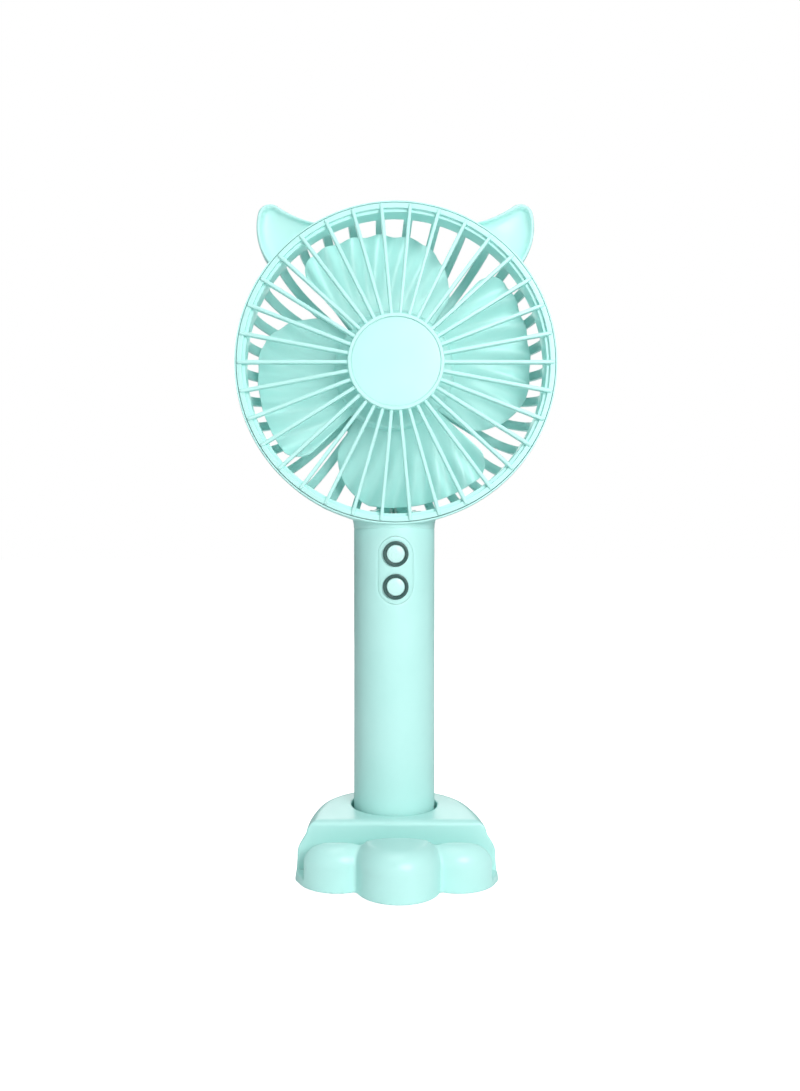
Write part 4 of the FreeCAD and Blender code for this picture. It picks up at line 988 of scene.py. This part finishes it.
def tail_cap():
    """The cup that closes the handle's lower end; its narrower rim goes up inside."""
    foot, floor, shoulder, rim = 3.25, 5.05, 6.15, 8.65
    outer, rim_outer, rim_inner = 13.5, 11.4, 10.0
    return lathe(soften([
        (0, foot, 0), (outer, foot, 1.2), (outer, shoulder, 0.08), (rim_outer, shoulder, 0.05),
        (rim_outer, rim, 0.2), (rim_inner, rim, 0.2), (rim_inner, floor, 0.3), (0, floor, 0),
    ]), Z, np.zeros(3))


show("handle_front", half_handle(-1, front_room, 0.5), "fan", "housing_plastic", ["handle_front_shell"])
show("handle_rear", half_handle(1, rear_room, 0.5), "fan", "housing_plastic", ["handle_rear_shell"])
show("button_surround", panel_around_buttons(), "fan", "housing_plastic", ["button_panel"])
show("tail_plug", tail_cap(), "fan", "housing_plastic", ["tail_cap"])
for (tag, height), pattern in zip(BUTTONS, (swirl, arc_over_dot)):
    body = tag + "_button"
    show(tag + "_bezel", bezel(height), "fan", "ring_plastic", [tag + "_button_ring"])
    show(tag + "_button_cap", button(height, pattern), body, "button_plastic", [body], sharp=60)


# ---------- floor, lights and camera ----------

WHITE = (1, 1, 1, 1)


def stage_floor():
    """A plain pale floor. The camera itself sees it glow white, so no shadow shows on it."""
    mesh = bpy.data.meshes.new("floor")
    half = 6.0
    corners = [(-half, -half, 0), (half, -half, 0), (half, half, 0), (-half, half, 0)]
    mesh.from_pydata(corners, [], [(0, 1, 2, 3)])
    floor = bpy.data.objects.new("floor", mesh)
    scene.collection.objects.link(floor)
    material, tree, shader = new_material("floor_paint")
    paint = ramp(tree, grain(tree, 8.0), (0.93, 0.93, 0.93), (0.95, 0.95, 0.95))
    tree.links.new(paint, shader.inputs["Base Color"])
    tree.links.new(ramp(tree, grain(tree, 30.0), 0.6, 0.7), shader.inputs["Roughness"])
    glow = add_node(tree, "ShaderNodeEmission", Color=WHITE, Strength=1.0)
    seen = tree.nodes.new("ShaderNodeLightPath")
    blend = tree.nodes.new("ShaderNodeAddShader")
    lit = tree.nodes.new("ShaderNodeMixShader")
    tree.links.new(shader.outputs["BSDF"], blend.inputs[0])
    tree.links.new(glow.outputs["Emission"], blend.inputs[1])
    tree.links.new(seen.outputs["Is Camera Ray"], lit.inputs["Fac"])
    tree.links.new(shader.outputs["BSDF"], lit.inputs[1])
    tree.links.new(blend.outputs["Shader"], lit.inputs[2])
    tree.links.new(lit.outputs["Shader"], tree.nodes["Material Output"].inputs["Surface"])
    mesh.materials.append(material)


def soft_light(name, place, aim, size, power):
    """A round lamp of size metres and power watts, aimed at a point."""
    light = bpy.data.lights.new(name, "AREA")
    light.shape = "DISK"
    light.size = size
    light.energy = power
    lamp_object = bpy.data.objects.new(name, light)
    scene.collection.objects.link(lamp_object)
    lamp_object.location = place
    lamp_object.rotation_euler = (Vector(aim) - Vector(place)).to_track_quat("-Z", "Y").to_euler()
    lamp_object.visible_camera = False


def studio_world():
    """Pale light from all round, behind a backdrop that the camera sees as white."""
    world = bpy.data.worlds.new("studio")
    scene.world = world
    world.use_nodes = True
    sky = world.node_tree
    around = sky.nodes["Background"]
    around.inputs["Color"].default_value = (0.9, 0.95, 0.95, 1)
    around.inputs["Strength"].default_value = 0.2
    backdrop = add_node(sky, "ShaderNodeBackground", Color=WHITE, Strength=1.0)
    path = sky.nodes.new("ShaderNodeLightPath")
    mix = sky.nodes.new("ShaderNodeMixShader")
    sky.links.new(path.outputs["Is Camera Ray"], mix.inputs["Fac"])
    sky.links.new(around.outputs["Background"], mix.inputs[1])
    sky.links.new(backdrop.outputs["Background"], mix.inputs[2])
    sky.links.new(mix.outputs["Shader"], sky.nodes["World Output"].inputs["Surface"])


def front_camera():
    """A level camera 0.3 m in front of the handle's axis and just left of it. Its lens and shift frame the
    fan in a picture 800 wide and 1091 high."""
    data = bpy.data.cameras.new("camera")
    data.sensor_width = 36.0
    data.lens = 29.40055
    data.shift_x = 0.0366636
    data.clip_start = 0.01
    camera = bpy.data.objects.new("camera", data)
    scene.collection.objects.link(camera)
    camera.location = (-0.0115, -0.300, 0.105)
    camera.rotation_euler = (math.pi / 2, 0, 0)
    scene.camera = camera


# Where the lights aim, in metres: the middle of the fan, and the holder.
HEAD_AND_HANDLE, HOLDER = (0, 0, 0.11), (0, 0, 0.02)
stage_floor()
soft_light("key", (0.25, -0.66, 0.36), HEAD_AND_HANDLE, 0.32, 3.35)
soft_light("fill", (-0.30, -0.75, 0.20), HEAD_AND_HANDLE, 0.5, 0.55)
soft_light("top", (-0.05, -0.20, 0.80), HOLDER, 0.5, 1.7)
soft_light("behind", (0.0, 0.62, 0.34), HOLDER, 0.5, 1.25)
studio_world()
front_camera()
scene.view_settings.view_transform = "Standard"
